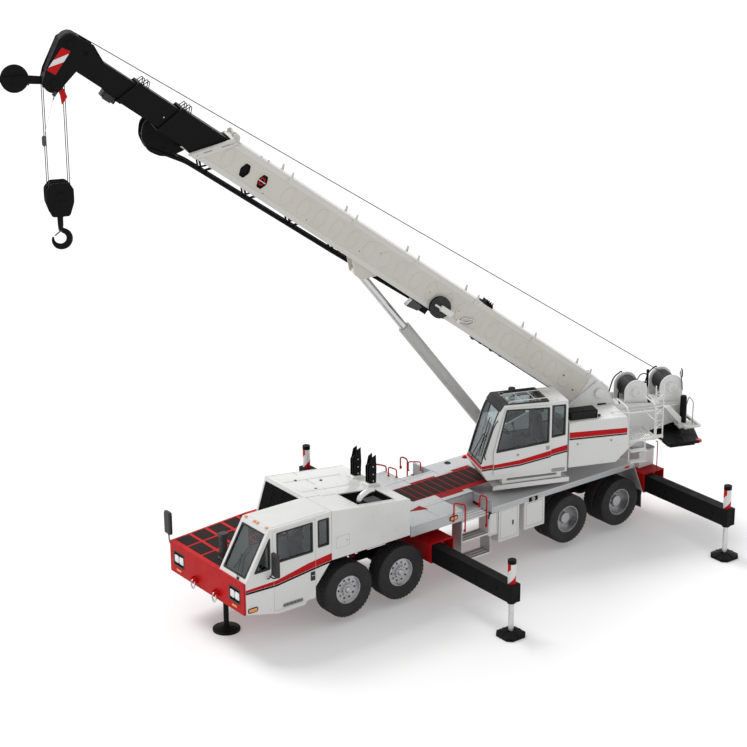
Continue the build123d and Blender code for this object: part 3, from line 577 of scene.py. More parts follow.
def grown(outline, distance):
    """A convex outline with its edges moved out, or in where the distance is negative."""
    count = len(outline)
    area = sum(outline[i - 1][0] * outline[i][1] - outline[i][0] * outline[i - 1][1] for i in range(count))
    sign = 1 if area > 0 else -1
    made = []
    for i in range(count):
        before, here, after = (Vector(outline[k % count]) for k in (i - 1, i, i + 1))
        first, second = (here - before).normalized(), (after - here).normalized()
        normal = Vector((first.y, -first.x)) * sign + Vector((second.y, -second.x)) * sign
        scale = distance / max(0.2, (1 + first.dot(second)) / 2) / 2
        made.append(tuple(here + normal * scale))
    return made


def torus(radius, thickness):
    """The section of a ring, to be turned about an axis."""
    return [(radius + thickness * cos(2 * pi * k / 8), thickness * sin(2 * pi * k / 8)) for k in range(8)]


def bolt_circle(shape, centre, radius, count, face, end, size):
    """Screw heads in a circle on a face that looks along Y."""
    x, z = centre
    for turn in range(count):
        angle = radians(360 / count * turn)
        a, b = x + radius * cos(angle), z + radius * sin(angle)
        shape.rod((a, face, b), (a, end, b), size, 6)


SIDES = (("left", 1), ("right", -1))
FACES = (("near", 1), ("far", -1))


# Wheels

TYRE_LUGS = 44
LUG_DEPTH = 0.014
LUG_SHARE = 0.33
LUG_LEAN = 0.02
LUG_ROWS = ((0.5, 0.84), (0.06, 0.38), (-0.38, -0.06), (-0.84, -0.5))
RIM_RADIUS = 0.286
WHEEL_NUTS = 10
NUT_CIRCLE = 0.135


def tyre_section(radius, width):
    """From one bead over the tread to the other."""
    half = width / 2
    base = radius - LUG_DEPTH
    side = [
        (RIM_RADIUS + 0.002, half * 0.76), (RIM_RADIUS + 0.02, half * 0.86), (RIM_RADIUS + 0.05, half * 0.93),
        (RIM_RADIUS + 0.052, half * 0.955), (RIM_RADIUS + 0.075, half * 0.962), (RIM_RADIUS + 0.078, half * 0.975),
        ((RIM_RADIUS + radius) / 2, half * 0.99), (radius - 0.065, half * 0.97), (radius - 0.035, half * 0.92),
        (base, half * 0.82),
    ]
    grooves = []
    for middle in (0.42, 0.0, -0.42):
        grooves += [(base, half * (middle + 0.06)), (base - 0.006, half * (middle + 0.045)),
                    (base - 0.006, half * (middle - 0.045)), (base, half * (middle - 0.06))]
    return side + grooves + [(r, -y) for r, y in reversed(side)]


def make_tyres(name, body, node, radius, width, middles, centre):
    shape = Shape()
    half = width / 2
    for middle in middles:
        place = Vector(centre) + Vector((0, middle, 0))
        shape.lathe(tyre_section(radius, width), place, "Y", 96, closed=True)
        for row, (low, high) in enumerate(LUG_ROWS):
            for k in range(TYRE_LUGS):
                turn = 2 * pi * (k + row * 0.5) / TYRE_LUGS
                wide = 2 * pi / TYRE_LUGS * LUG_SHARE
                rings = []
                for r in (radius - LUG_DEPTH - 0.002, radius - 0.001):
                    ring = []
                    for a, y in rect(-wide, wide, low, high):
                        lean = LUG_LEAN * (1 if row % 2 else -1) * (y - (low + high) / 2) / 0.17
                        ring.append(place + Vector((r * sin(turn + a + lean), half * y, r * cos(turn + a + lean))))
                    rings.append(ring)
                shape.faces(rings)
    shape.piece(name, body, "rubber", sharp=28, replaces=(node,))


def make_wheel_details(name, body, centre, out, face, dual):
    """Hub, cap and nuts on the outer face of a disc."""
    shape = Shape()
    x, y, z = centre
    hub = [(0.0, 0.095), (0.045, 0.095), (0.06, 0.08), (0.075, 0.02), (0.105, 0.012), (0.108, 0.0)]
    if dual:
        hub = [(0.0, 0.16), (0.06, 0.16), (0.085, 0.145), (0.095, 0.03), (0.11, 0.02), (0.112, 0.0)]
    shape.lathe([(r, (face + a) * out) for r, a in hub], centre, "Y", 40)
    for k in range(WHEEL_NUTS):
        turn = 2 * pi * (k + 0.5) / WHEEL_NUTS
        a = Vector((x + NUT_CIRCLE * cos(turn), y + face * out, z + NUT_CIRCLE * sin(turn)))
        shape.rod(a, a + Vector((0, 0.032 * out, 0)), 0.014, 6)
        shape.rod(a, a + Vector((0, 0.006 * out, 0)), 0.02, 12)
    shape.piece(name, body, "aluminium")


FRONT_FACE, REAR_FACE = 0.096, 0.028
REAR_WIDTH = 0.275
DUAL_SPACING = 0.325


def make_wheels():
    for number in (1, 2):
        for word, side in SIDES:
            for axle, ending, middles, face in (
                    ("front", "", (0,), FRONT_FACE),
                    ("rear", "s", (-DUAL_SPACING / 2, DUAL_SPACING / 2), REAR_FACE)):
                place = f"{axle}_{number}_{word}"
                node, body = f"tyre{ending}_{place}", f"wheel{ending}_{place}"
                low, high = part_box(node)
                centre = CARRIER.inverted() @ ((low + high) / 2)
                width = REAR_WIDTH if axle == "rear" else high.y - low.y
                make_tyres(node + "_tread", body, node, (high.z - low.z) / 2, width, middles, centre)
                make_wheel_details(f"hub_{place}", body, centre, side, face, axle == "rear")


make_wheels()

# Shared details

PANE_DEPTH = 0.022


def window(name, body, outline, axis, face, out, place=CARRIER, radius=0.05, band=0.02, inner=0.036, proud=0.007):
    """A pane of glass with its rubber gasket, in an opening of a wall."""
    soft = corners(outline, radius)
    sharp = corners(outline, 0.012)
    pane = Shape(place).prism(grown(soft, -0.004), face - out * PANE_DEPTH, face - out * (PANE_DEPTH - 0.006), axis)
    pane.piece(name + "_pane", body, "glass")
    gasket = Shape(place).frame(grown(sharp, 0.014), grown(soft, -band), face - out * inner, face + out * proud, axis)
    gasket.piece(name + "_gasket", body, "hose", bevel=0.003)


def between(line, x):
    """The height of a polyline at x."""
    line = sorted(line)
    for (x0, z0), (x1, z1) in zip(line, line[1:]):
        if x <= x1:
            return z0 + (z1 - z0) * (x - x0) / (x1 - x0)
    return line[-1][1]


def clipped(line, low, high):
    inside = [point for point in sorted(line) if low < point[0] < high]
    return [(low, between(line, low))] + inside + [(high, between(line, high))]


def stripe(name, body, upper, lower, low, high, face, out, place=CARRIER, finish="red", proud=0.0018):
    """A painted band on a wall that faces along Y."""
    outline = clipped(upper, low, high) + clipped(lower, low, high)[::-1]
    Shape(place).prism(outline, face, face + out * proud, "Y").piece(name, body, finish)


def hoop(shape, points, radius, bend):
    """A bent bar with a round foot at each end."""
    shape.tube(points, radius, 12, bend, 6)
    for end, after in ((points[0], points[1]), (points[-1], points[-2])):
        end, after = Vector(end), Vector(after)
        shape.rod(end, end + (after - end).normalized() * 0.01, radius * 2.1, 16)


def steering_wheel(place, radius, reach, spoke):
    wheel = Shape(place).lathe(torus(radius, 0.014), (0, 0, 0), "Z", 40, closed=True)
    for turn in (0, 120, 240):
        wheel.rod((0, 0, -0.01), (reach * cos(radians(turn)), reach * sin(radians(turn)), 0), spoke, 8)
    return wheel


# Carrier cab

CAB_LEFT, CAB_RIGHT = 1.28, 0.40
CAB_SLOPE = Vector((5.4 - 5.954, 0, 2.5 - 1.553)).normalized()
SCREEN = CARRIER @ basis((5.954, 0, 1.553), CAB_SLOPE, (0, 1, 0))
STRIPE_TOP = [(5.97, 1.417), (5.25, 1.432), (4.52, 1.575), (3.96, 1.637)]
STRIPE_LOW = [(5.97, 1.372), (5.25, 1.352), (4.48, 1.442), (3.96, 1.492)]
CAB_QUARTER = rect(4.04, 4.28, 1.84, 2.38)
DOOR_REAR, DOOR_FRONT = 4.356, 5.314


def lowered(line, amount):
    return [(x, z - amount) for x, z in line]


def make_cab():
    window("windscreen", "carrier", rect(0.09, 0.975, 0.485, 1.195), "Z", 0, -1, SCREEN, 0.08)
    window("cab_triangle", "carrier", [(5.40, 1.71), (5.745, 1.71), (5.40, 2.32)], "Y", CAB_LEFT, 1, radius=0.035)
    window("cab_quarter", "carrier", CAB_QUARTER, "Y", CAB_LEFT, 1)
    window("cab_quarter_far", "carrier", CAB_QUARTER, "Y", CAB_RIGHT, -1)
    window("cab_side_far", "carrier", rect(4.40, 5.30, 1.84, 2.38), "Y", CAB_RIGHT, -1)
    window("cab_door", "cab_door", rect(4.42, 5.23, 1.79, 2.385), "Y", CAB_LEFT, 1)
    black_top, black_low = lowered(STRIPE_LOW, 0.006), lowered(STRIPE_LOW, 0.045)
    for name, body, low, high in (("rear", "carrier", 3.972, 4.348), ("door", "cab_door", DOOR_REAR, DOOR_FRONT),
                                  ("front", "carrier", 5.322, 5.952)):
        stripe(f"cab_stripe_{name}", body, STRIPE_TOP, STRIPE_LOW, low, high, CAB_LEFT, 1)
        stripe(f"cab_line_{name}", body, black_top, black_low, low, high, CAB_LEFT, 1, finish="black")
    seal = Shape().frame(rect(4.352, 5.318, 0.802, 2.438), rect(4.364, 5.306, 0.814, 2.426), 1.244, 1.262)
    seal.piece("cab_door_seal", "carrier", "hose")
    dish = corners(rect(4.37, 4.47, 1.19, 1.375), 0.015)
    handle = Shape().frame(dish, grown(dish, -0.012), CAB_LEFT, 1.287)
    handle.box((4.382, 4.458), (CAB_LEFT, 1.2815), (1.2, 1.365))
    handle.piece("cab_door_latch_dish", "cab_door", "plastic", 0.002)
    Shape().tube([(4.39, 1.284, 1.30), (4.39, 1.298, 1.30), (4.45, 1.298, 1.30), (4.45, 1.284, 1.30)], 0.008, 8,
                 0.012).piece("cab_door_latch", "cab_door", "aluminium")
    grille = corners(rect(4.66, 5.12, 0.83, 0.905), 0.02)
    vent = Shape().frame(grille, grown(grille, -0.012), CAB_LEFT, 1.29)
    for k in range(5):
        for z in ((0.85, 0.862), (0.872, 0.884)):
            vent.box((4.68 + k * 0.085, 4.755 + k * 0.085), (CAB_LEFT, 1.286), z)
    vent.piece("cab_vent", "cab_door", "grey", 0.002)
    # Near-black sheet behind the vent slats: painted shade of the vent opening
    Shape().prism(grown(grille, -0.01), CAB_LEFT, 1.282).piece("cab_vent_shade", "cab_door", "dark")
    lens = corners(rect(5.71, 5.9, 0.945, 1.015), 0.02)
    Shape().prism(lens, CAB_LEFT, 1.292).piece("cab_marker_lens", "carrier", "amber", 0.006)
    Shape().frame(grown(lens, 0.014), grown(lens, -0.002), CAB_LEFT, 1.296).piece("cab_marker_rim", "carrier",
                                                                                "plastic", 0.003)
    lamps = Shape()
    for y in (0.5, 0.78, 0.88, 1.18):
        lamps.prism(corners(rect(5.36, 5.42, y - 0.03, y + 0.03), 0.01), 2.5, 2.525, "Z")
    lamps.piece("cab_roof_lamps", "carrier", "amber", 0.006)
    roof = Shape().prism(corners(rect(4.02, 5.33, 0.46, 1.22), 0.06), 2.499, 2.508, "Z")
    roof.piece("cab_roof_panel", "carrier", "white", 0.006)
    Shape().tube([(5.33, 1.262, 2.5), (5.92, 1.262, 1.585)], 0.012, 8).piece("cab_pillar_trim", "carrier", "white")
    wiper = Shape(SCREEN)
    wiper.tube([(0.03, 1.02, -0.012), (0.05, 1.0, -0.03), (0.47, 0.86, -0.026)], 0.007, 8, 0.03)
    wiper.tube([(0.16, 0.80, -0.016), (0.66, 0.96, -0.016)], 0.008, 6)
    wiper.lathe([(0.0, -0.03), (0.022, -0.03), (0.026, 0.002)], (0.03, 1.02, -0.004), "Z", 20)
    wiper.piece("cab_wiper", "carrier", "plastic")
    inside = Shape()
    inside.prism([(5.30, 1.18), (5.55, 1.32), (5.82, 1.46), (5.86, 1.40), (5.86, 0.97), (5.5, 0.97)], 0.45, 1.235)
    inside.piece("cab_dashboard", "carrier", "lining", 0.02)
    wheel = steering_wheel(CARRIER @ basis((5.22, 0.85, 1.50), (0.82, 0, 0.57), (0, 1, 0)), 0.205, 0.2, 0.01)
    wheel.rod((0, 0, 0.01), (0, 0, -0.32), 0.03, 12)
    wheel.piece("cab_steering_wheel", "carrier", "plastic")
    mat = Shape().box((4.66, 5.5), (0.45, 1.23), (0.945, 0.952))
    mat.piece("cab_floor_mat", "carrier", "hose")


def make_mirror(name, body, centre, arm):
    x, y, z = centre
    outline = corners(rect(y - 0.11, y + 0.11, z - 0.24, z + 0.24), 0.05)
    case = Shape().faces([[(x + dx, a, b) for a, b in grown(outline, size)]
                          for dx, size in ((-0.028, -0.008), (-0.022, 0.0), (0.02, 0.0), (0.045, -0.03))])
    case.tube(arm, 0.013, 10, 0.06)
    case.rod((x, y, z - 0.27), (x, y, z + 0.02), 0.016, 10)
    case.piece(name, body, "plastic", 0.004)
    glass_face = Shape().prism(grown(outline, -0.016), x - 0.0295, x - 0.0275, "X")
    glass_face.piece(name + "_glass", body, "mirror")


def make_mirrors():
    make_mirror("mirror_near", "carrier", (5.42, 1.5, 1.87),
                [(5.40, 1.27, 1.56), (5.41, 1.42, 1.56), (5.42, 1.5, 1.62)])
    near = Shape().tube([(5.36, 1.27, 1.60), (5.40, 1.34, 1.62), (5.46, 1.34, 1.55), (5.46, 1.27, 1.52)], 0.012, 8,
                        0.02)
    near.piece("mirror_near_bracket", "carrier", "plastic")
    make_mirror("mirror_far", "carrier", (5.95, -1.40, 1.87),
                [(5.97, -1.24, 1.44), (5.96, -1.36, 1.46), (5.95, -1.40, 1.62)])


# Fascia and front deck

FRONT = 6.0


def make_front():
    for word, side in SIDES:
        y = side * 0.97
        outline = corners(rect(y - 0.18, y + 0.18, 1.09, 1.39), 0.02)
        Shape().frame(grown(outline, 0.008), grown(outline, -0.02), FRONT - 0.03, FRONT + 0.004, "X").piece(
            f"lamp_bezel_{word}", "carrier", "plastic", 0.003)
        # Near-black sheet set deep in the bezel behind the lenses: painted shade of the recess
        Shape().prism(grown(outline, -0.01), FRONT - 0.032, FRONT - 0.022, "X").piece(
            f"lamp_back_{word}", "carrier", "dark")
        lenses, rims = Shape(), Shape()
        for middle in (y - 0.082, y + 0.082):
            square = corners(rect(middle - 0.066, middle + 0.066, 1.17, 1.31), 0.03)
            lenses.faces([[(FRONT + dx, a, b) for a, b in grown(square, size)]
                          for dx, size in ((-0.02, 0), (-0.004, 0), (0.004, -0.015))])
            rims.frame(grown(square, 0.011), grown(square, -0.003), FRONT - 0.022, FRONT, "X")
        lenses.piece(f"headlamps_{word}", "carrier", "lamp", 0.003)
        rims.piece(f"headlamp_rims_{word}", "carrier", "chrome", 0.002)
        low = corners(rect(y - 0.08, y + 0.08, 1.0, 1.035), 0.008)
        Shape().prism(low, FRONT, FRONT + 0.016, "X").piece(f"front_flasher_{word}", "carrier", "amber", 0.004)
    lugs = Shape()
    rings = Shape()
    for y in (-0.37, 0.37):
        for dy in (-0.05, 0.03):
            lugs.prism(corners([(FRONT - 0.002, 1.12), (FRONT - 0.002, 0.99), (FRONT + 0.07, 0.99),
                                (FRONT + 0.11, 1.03), (FRONT + 0.11, 1.07), (FRONT + 0.07, 1.12)], 0.02),
                       y + dy, y + dy + 0.02)
        lugs.rod((FRONT + 0.07, y - 0.11, 1.05), (FRONT + 0.07, y + 0.11, 1.05), 0.018, 14)
        rings.tube([(FRONT + 0.07, y - 0.045, 1.06), (FRONT + 0.08, y - 0.07, 0.95), (FRONT + 0.085, y, 0.87),
                    (FRONT + 0.08, y + 0.07, 0.95), (FRONT + 0.07, y + 0.045, 1.06)], 0.017, 12, 0.05, 6)
        rings.rod((FRONT + 0.07, y - 0.028, 1.05), (FRONT + 0.07, y + 0.028, 1.05), 0.03, 14)
    lugs.piece("tow_lugs", "carrier", "red", 0.004)
    rings.piece("tow_shackles", "carrier", "steel")
    trim = Shape().tube([(FRONT - 0.012, -1.265, 1.548), (FRONT - 0.012, 1.265, 1.548)], 0.014, 10)
    trim.tube([(FRONT - 0.012, -1.265, 0.925), (FRONT - 0.012, 1.265, 0.925)], 0.014, 10)
    trim.piece("fascia_edges", "carrier", "red")
    slope = (1.67 - 1.553) / (4.23 - 5.99)
    panels = Shape()
    beside_stand = (5.53, 5.23)
    rows = [(5.90, 5.60), beside_stand, (5.16, 4.86), (4.79, 4.49), (4.42, 4.27)]
    columns = [(-1.23, -0.83), (-0.77, -0.33), (-0.27, 0.36)]
    for high, low in rows:
        for right, left in columns:
            if left > 0 and (high, low) == beside_stand:
                left = -0.02
            outline = corners(rect(low, high, right, left), 0.02)
            heights = [1.553 + slope * (x - 5.99) for x, y in outline]
            panels.faces([[(x, y, z + up) for (x, y), z in zip(outline, heights)] for up in (0.0, 0.005)])
    panels.piece("front_deck_grip", "carrier", "grip")
    stand = Shape().prism(corners(rect(5.60, 5.72, 0.04, 0.16), 0.02), 1.575, 2.05, "Z")
    stand.box((5.57, 5.75), (0.01, 0.19), (1.57, 1.60))
    stand.box((5.58, 5.74), (0.02, 0.18), (2.05, 2.10))
    for z in (1.70, 1.82, 1.94):
        stand.box((5.722, 5.735), (0.05, 0.15), (z, z + 0.05))
    stand.piece("front_deck_stand", "carrier", "plastic", 0.006)


# Hood with its grille, roof openings and exhaust

HOOD_LEFT, HOOD_RIGHT = 1.275, -0.95


def hood_top(x):
    """The height of the sloping roof."""
    return 2.24 + (2.48 - 2.24) / (3.96 - 2.06) * (x - 2.06)


def on_hood(shape, rings, caps=True):
    """Skins outlines that lie at heights over the roof."""
    shape.faces([[(x, y, hood_top(x) + up) for x, y in outline] for outline, up in rings], caps=caps)


def make_hood():
    nose = Vector((4.23 - 3.959, 0, 1.67 - 2.48)).normalized()
    face = CARRIER @ basis((3.959, 0, 2.48), nose, (0, 1, 0))
    length = (Vector((4.23, 0, 1.67)) - Vector((3.959, 0, 2.48))).length
    outline = corners(rect(0.06, length - 0.05, -0.90, 0.35), 0.03)
    # Near-black sheet behind the grille slats: painted shade of the opening behind them
    Shape(face).prism(outline, 0.0, 0.004, "Z").piece("hood_grille_shade", "carrier", "dark")
    Shape(face).frame(grown(outline, 0.02), grown(outline, -0.012), 0.0, 0.012, "Z").piece(
        "hood_grille_rim", "carrier", "white", 0.004)
    slats = Shape(face)
    for k in range(16):
        t = 0.09 + k * (length - 0.17) / 15
        slats.box((t, t + 0.012), (-0.88, 0.33), (0.004, 0.014))
    for y in (-0.6, -0.27, 0.06):
        slats.box((0.07, length - 0.06), (y - 0.008, y + 0.008), (0.006, 0.018))
    slats.piece("hood_grille_slats", "carrier", "black", 0.002)
    ribs = Shape()
    for y, low, high in ((-0.62, 2.45, 3.85), (-0.02, 2.55, 3.85), (0.32, 2.45, 3.6)):
        outline = corners(rect(low, high, y - 0.14, y + 0.14), 0.03)
        on_hood(ribs, [(grown(outline, size), up) for up, size in ((-0.002, 0.0), (0.007, -0.004), (0.009, -0.012))])
    ribs.piece("hood_roof_panels", "carrier", "white")
    joint_line = Shape()
    for low, high in (((2.07, 0.40), (3.95, 0.406)), ((3.30, -0.94), (3.306, 0.40))):
        outline = rect(low[0], high[0], low[1], high[1])
        on_hood(joint_line, [(outline, -0.001), (outline, 0.0015)])
    joint_line.piece("hood_roof_seams", "carrier", "dark")
    pulls = Shape()
    for x, y in ((3.45, 0.05), (3.05, -0.33), (3.55, -0.5)):
        pulls.lathe([(0, 0.0), (0.03, 0.0), (0.03, 0.012), (0.022, 0.014), (0, 0.008)], (x, y, hood_top(x)), "Z", 20)
    pulls.piece("hood_pulls", "carrier", "plastic")
    well = rect(2.35, 3.25, 0.48, 1.15)
    rim = Shape()
    outer, inner = grown(corners(well, 0.02), 0.025), grown(corners(well, 0.02), -0.004)
    on_hood(rim, ((outer, -0.001), (outer, 0.012), (inner, 0.012), (inner, -0.03), (outer, -0.001)), caps=False)
    rim.piece("hood_well_rim", "carrier", "white", 0.003)
    # Walls and floor of the well in near-black: painted shade inside the opening
    sides = Shape()
    box = grown(well, -0.006)
    low, high = [(x, y, 2.02) for x, y in box], [(x, y, hood_top(x) - 0.01) for x, y in box]
    sides.faces([low, high], caps=False)
    sides.faces([[(x, y, 2.02) for x, y in box], [(x, y, 2.03) for x, y in box]])
    sides.piece("hood_well_shade", "carrier", "dark")
    pipe = Shape().tube([(3.08, 0.97, 2.0), (3.08, 0.97, 2.44), (2.86, 0.97, 2.53), (2.74, 0.97, 2.53)], 0.062, 20,
                        0.16, 8)
    pipe.rod((3.08, 0.97, 2.27), (3.08, 0.97, 2.30), 0.074, 20)
    pipe.rod((2.76, 0.97, 2.53), (2.745, 0.97, 2.53), 0.068, 20)
    pipe.piece("exhaust_elbow", "carrier", "steel")
    core = Shape()
    for k in range(9):
        core.box((2.42 + k * 0.085, 2.47 + k * 0.085), (0.52, 1.12), (2.03, 2.1))
    core.box((2.45, 2.75), (0.6, 0.95), (2.1, 2.2))
    core.piece("hood_well_cooler", "carrier", "iron", 0.006)
    outline = corners(rect(3.54, 3.86, 1.69, 1.93), 0.012)
    door = Shape().frame(outline, grown(outline, -0.005), HOOD_LEFT, HOOD_LEFT + 0.001)
    door.rod((3.60, HOOD_LEFT, 1.81), (3.60, HOOD_LEFT + 0.006, 1.81), 0.014, 16)
    door.rod((3.82, HOOD_LEFT, 1.90), (3.82, HOOD_LEFT + 0.006, 1.90), 0.008, 12)
    door.piece("hood_hatch_outline", "carrier", "grey")
    gap = Shape().box((3.955, 3.974), (0.41, 1.270), (1.50, 2.492))
    gap.piece("hood_cab_seal", "carrier", "hose")
    edge = Shape().tube([(3.95, HOOD_LEFT - 0.012, 2.474), (2.075, HOOD_LEFT - 0.012, 2.236)], 0.014, 8)
    edge.tube([(3.95, HOOD_RIGHT + 0.012, 2.474), (2.075, HOOD_RIGHT + 0.012, 2.236)], 0.014, 8)
    edge.piece("hood_edges", "carrier", "white")
    bases = Shape()
    for y in (-0.25, 0.25):
        outline = rect(2.09, 2.40, y - 0.11, y + 0.11)
        on_hood(bases, [(grown(outline, size), up) for up, size in ((-0.002, 0.0), (0.03, -0.002), (0.05, -0.03))])
    bases.piece("boom_rest_bases", "carrier", "white", 0.004)
    plates = Shape()
    for y in (-0.25, 0.25):
        for dy in (-0.07, 0.055):
            outline = [(2.17, 2.30), (2.33, 2.30), (2.33, 2.66), (2.30, 2.70), (2.26, 2.86), (2.17, 2.90),
                       (2.155, 2.60)]
            plates.prism(outline, y + dy, y + dy + 0.015)
        for z in (2.42, 2.60, 2.76):
            plates.rod((2.24, y - 0.072, z), (2.24, y + 0.072, z), 0.014, 10)
        for z in (2.36, 2.50, 2.66):
            plates.lathe(rect(0.014, 0.03, 0.0, 0.003), (2.24, y + 0.07, z), "Y", 16, closed=True)
    plates.piece("boom_rest_plates", "carrier", "black", 0.003)
    holes = Shape()
    for y in (-0.25, 0.25):
        for z in (2.36, 2.50, 2.66):
            holes.rod((2.24, y + 0.0702, z), (2.24, y + 0.0715, z), 0.016, 14)
    holes.piece("boom_rest_holes", "carrier", "white")


make_cab()
make_mirrors()
make_front()
make_hood()

# Boom

BASE_LOW, BASE_HIGH, BASE_HALF = -0.455, 0.215, 0.33
NOSE_X, NOSE_SLANT = 10.05, 0.275
PRESS_Z, PRESS_PITCH, PRESS_FIRST, PRESS_LAST = -0.125, 0.4075, 0.85, 9.625
PRESS_COUNT = 19
FOOT_END = 0.34
POST_X = [8.344, 6.747, 5.156, 3.569, 2.0, 0.441]


def nose_x(z):
    """The slanted end of the base section at a height."""
    return NOSE_X + NOSE_SLANT * (1 - 2 * (z - BASE_LOW) / (BASE_HIGH - BASE_LOW))


def ellipse(centre, half_width, half_height, count=36):
    return [(centre[0] + half_width * cos(2 * pi * k / count), centre[1] + half_height * sin(2 * pi * k / count))
            for k in range(count)]


def make_boom_sides():
    for word, side in FACES:
        face = side * BASE_HALF
        presses = Shape(BOOM)
        places = [PRESS_FIRST + PRESS_PITCH * k for k in range(PRESS_COUNT)] + [PRESS_LAST]
        for x in places:
            rings = [[(a, face + side * up, b) for a, b in ellipse((x, PRESS_Z), 0.135 - inset, 0.205 - inset)]
                     for inset, up in ((0.0, -0.001), (0.012, 0.011), (0.026, 0.011), (0.045, -0.001))]
            presses.faces(rings, caps=False)
        presses.piece(f"boom_presses_{word}", "boom", "cream", sharp=80)
        edges = Shape(BOOM)
        edges.prism([(FOOT_END, 0.112), (nose_x(0.112) - 0.2, 0.112), (nose_x(BASE_HIGH) - 0.2, BASE_HIGH + 0.012),
                     (FOOT_END, BASE_HIGH + 0.012)], face - side * 0.004, face + side * 0.009)
        edges.prism([(FOOT_END, BASE_LOW - 0.012), (nose_x(BASE_LOW) - 0.2, BASE_LOW - 0.012),
                     (nose_x(-0.362) - 0.2, -0.362), (FOOT_END, -0.362)], face - side * 0.004, face + side * 0.009)
        edges.piece(f"boom_flanges_{word}", "boom", "flange", bevel=0.003)
        rim = Shape(BOOM)
        for x in (8.79, 9.21):
            lozenge = [(x - 0.105, -0.15), (x - 0.0525, -0.01), (x + 0.0525, -0.01), (x + 0.105, -0.15),
                       (x + 0.0525, -0.29), (x - 0.0525, -0.29)]
            soft = corners(lozenge, 0.03)
            rim.frame(grown(soft, 0.03), grown(soft, 0.001), face - side * 0.02, face + side * 0.008)
        rim.piece(f"boom_window_rims_{word}", "boom", "cream", bevel=0.003)
        collar = Shape(BOOM)
        collar.prism([(nose_x(BASE_LOW) + 0.012, BASE_LOW - 0.035), (nose_x(BASE_HIGH) - 0.012, BASE_HIGH + 0.03),
                      (nose_x(BASE_HIGH) - 0.20, BASE_HIGH + 0.03), (nose_x(BASE_LOW) - 0.17, BASE_LOW - 0.035)],
                     face, face + side * 0.03)
        collar.prism([(nose_x(BASE_LOW) - 0.01, BASE_LOW - 0.03), (nose_x(BASE_HIGH) - 0.03, BASE_HIGH + 0.026),
                      (nose_x(BASE_HIGH) - 0.07, BASE_HIGH + 0.026), (nose_x(BASE_LOW) - 0.05, BASE_LOW - 0.03)],
                     face + side * 0.03, face + side * 0.045)
        collar.piece(f"boom_collar_{word}", "boom", "flange", bevel=0.006)
        slots = Shape(BOOM)
        for low, high in ((-0.02, 0.12), (-0.30, -0.16)):
            slots.prism(corners([(nose_x(low) - 0.12, low), (nose_x(high) - 0.12, high),
                                 (nose_x(high) - 0.085, high), (nose_x(low) - 0.085, low)], 0.012),
                        face + side * 0.0302, face + side * 0.0315)
        for z in (0.17, 0.14, -0.40):
            slots.rod((nose_x(z) - 0.11, face + side * 0.03, z), (nose_x(z) - 0.11, face + side * 0.034, z), 0.013, 12)
        slots.piece(f"boom_collar_slots_{word}", "boom", "grey")
        foot = Shape(BOOM)
        foot.prism([(-0.30, -0.13), (-0.14, BASE_HIGH - 0.002), (FOOT_END, BASE_HIGH - 0.002),
                    (FOOT_END, BASE_LOW + 0.004), (-0.30, BASE_LOW + 0.004)], face, face + side * 0.007)
        foot.prism(rect(0.31, 0.35, BASE_LOW - 0.02, BASE_HIGH + 0.02), face, face + side * 0.013)
        foot.piece(f"boom_foot_{word}", "boom", "white", bevel=0.003)


def make_boom_top():
    top = Shape(BOOM)
    across = (-BASE_HALF - 0.008, BASE_HALF + 0.008)
    top.box((FOOT_END, 9.56), across, (BASE_HIGH, BASE_HIGH + 0.012))
    top.box((FOOT_END, 10.1), across, (BASE_LOW - 0.012, BASE_LOW))
    top.prism([(9.57, BASE_HIGH), (9.77, BASE_HIGH), (9.75, BASE_HIGH + 0.035), (9.57, BASE_HIGH + 0.035)],
              -BASE_HALF - 0.03, BASE_HALF + 0.03)
    top.piece("boom_top_plate", "boom", "flange", bevel=0.003)
    bracket = Shape(BOOM)
    for y in (-0.30, 0.10, 0.24):
        bracket.prism(corners([(9.60, BASE_HIGH + 0.03), (9.74, BASE_HIGH + 0.03), (9.77, BASE_HIGH + 0.10),
                               (9.72, BASE_HIGH + 0.15), (9.63, BASE_HIGH + 0.12)], 0.02), y, y + 0.03)
    bracket.box((9.62, 9.72), (-0.29, 0.26), (BASE_HIGH + 0.03, BASE_HIGH + 0.05))
    bracket.rod((9.70, -0.32, BASE_HIGH + 0.11), (9.70, 0.29, BASE_HIGH + 0.11), 0.018, 12)
    bracket.piece("boom_collar_bracket", "boom", "flange", bevel=0.004)
    posts = Shape(BOOM)
    for x in POST_X:
        for side in (-1, 1):
            face = side * (BASE_HALF + 0.009)
            posts.faces([[(x + a, face + side * b, z) for a, b in outline] for outline, z in (
                ([(-0.035, 0), (0.035, 0), (0.03, 0.02), (-0.03, 0.02)], 0.13),
                (rect(-0.03, 0.03, 0, 0.03), 0.23), (rect(0.015, 0.05, 0.01, 0.03), 0.335))])
    for x, height in ((8.9, 0.27), (9.07, 0.26)):
        posts.rod((x, BASE_HALF - 0.05, BASE_HIGH), (x, BASE_HALF - 0.05, height), 0.018, 12)
        posts.rod((x, BASE_HALF - 0.05, height - 0.015), (x, BASE_HALF - 0.05, height), 0.028, 12)
    posts.piece("boom_rope_guides", "boom", "flange", bevel=0.004)
    valve = Shape(BOOM)
    valve.box((3.10, 3.32), (-0.12, 0.22), (BASE_HIGH + 0.01, BASE_HIGH + 0.05))
    for k in range(4):
        valve.box((3.11 + k * 0.052, 3.145 + k * 0.052), (-0.06 + 0.04 * (k % 2), 0.20), (BASE_HIGH + 0.05,
                                                                                     BASE_HIGH + 0.075 + 0.012 * k))
        valve.rod((3.125 + k * 0.052, 0.16, BASE_HIGH + 0.07), (3.125 + k * 0.052, 0.16, BASE_HIGH + 0.12), 0.014, 10)
    valve.piece("boom_valve_block", "boom", "black", bevel=0.003)


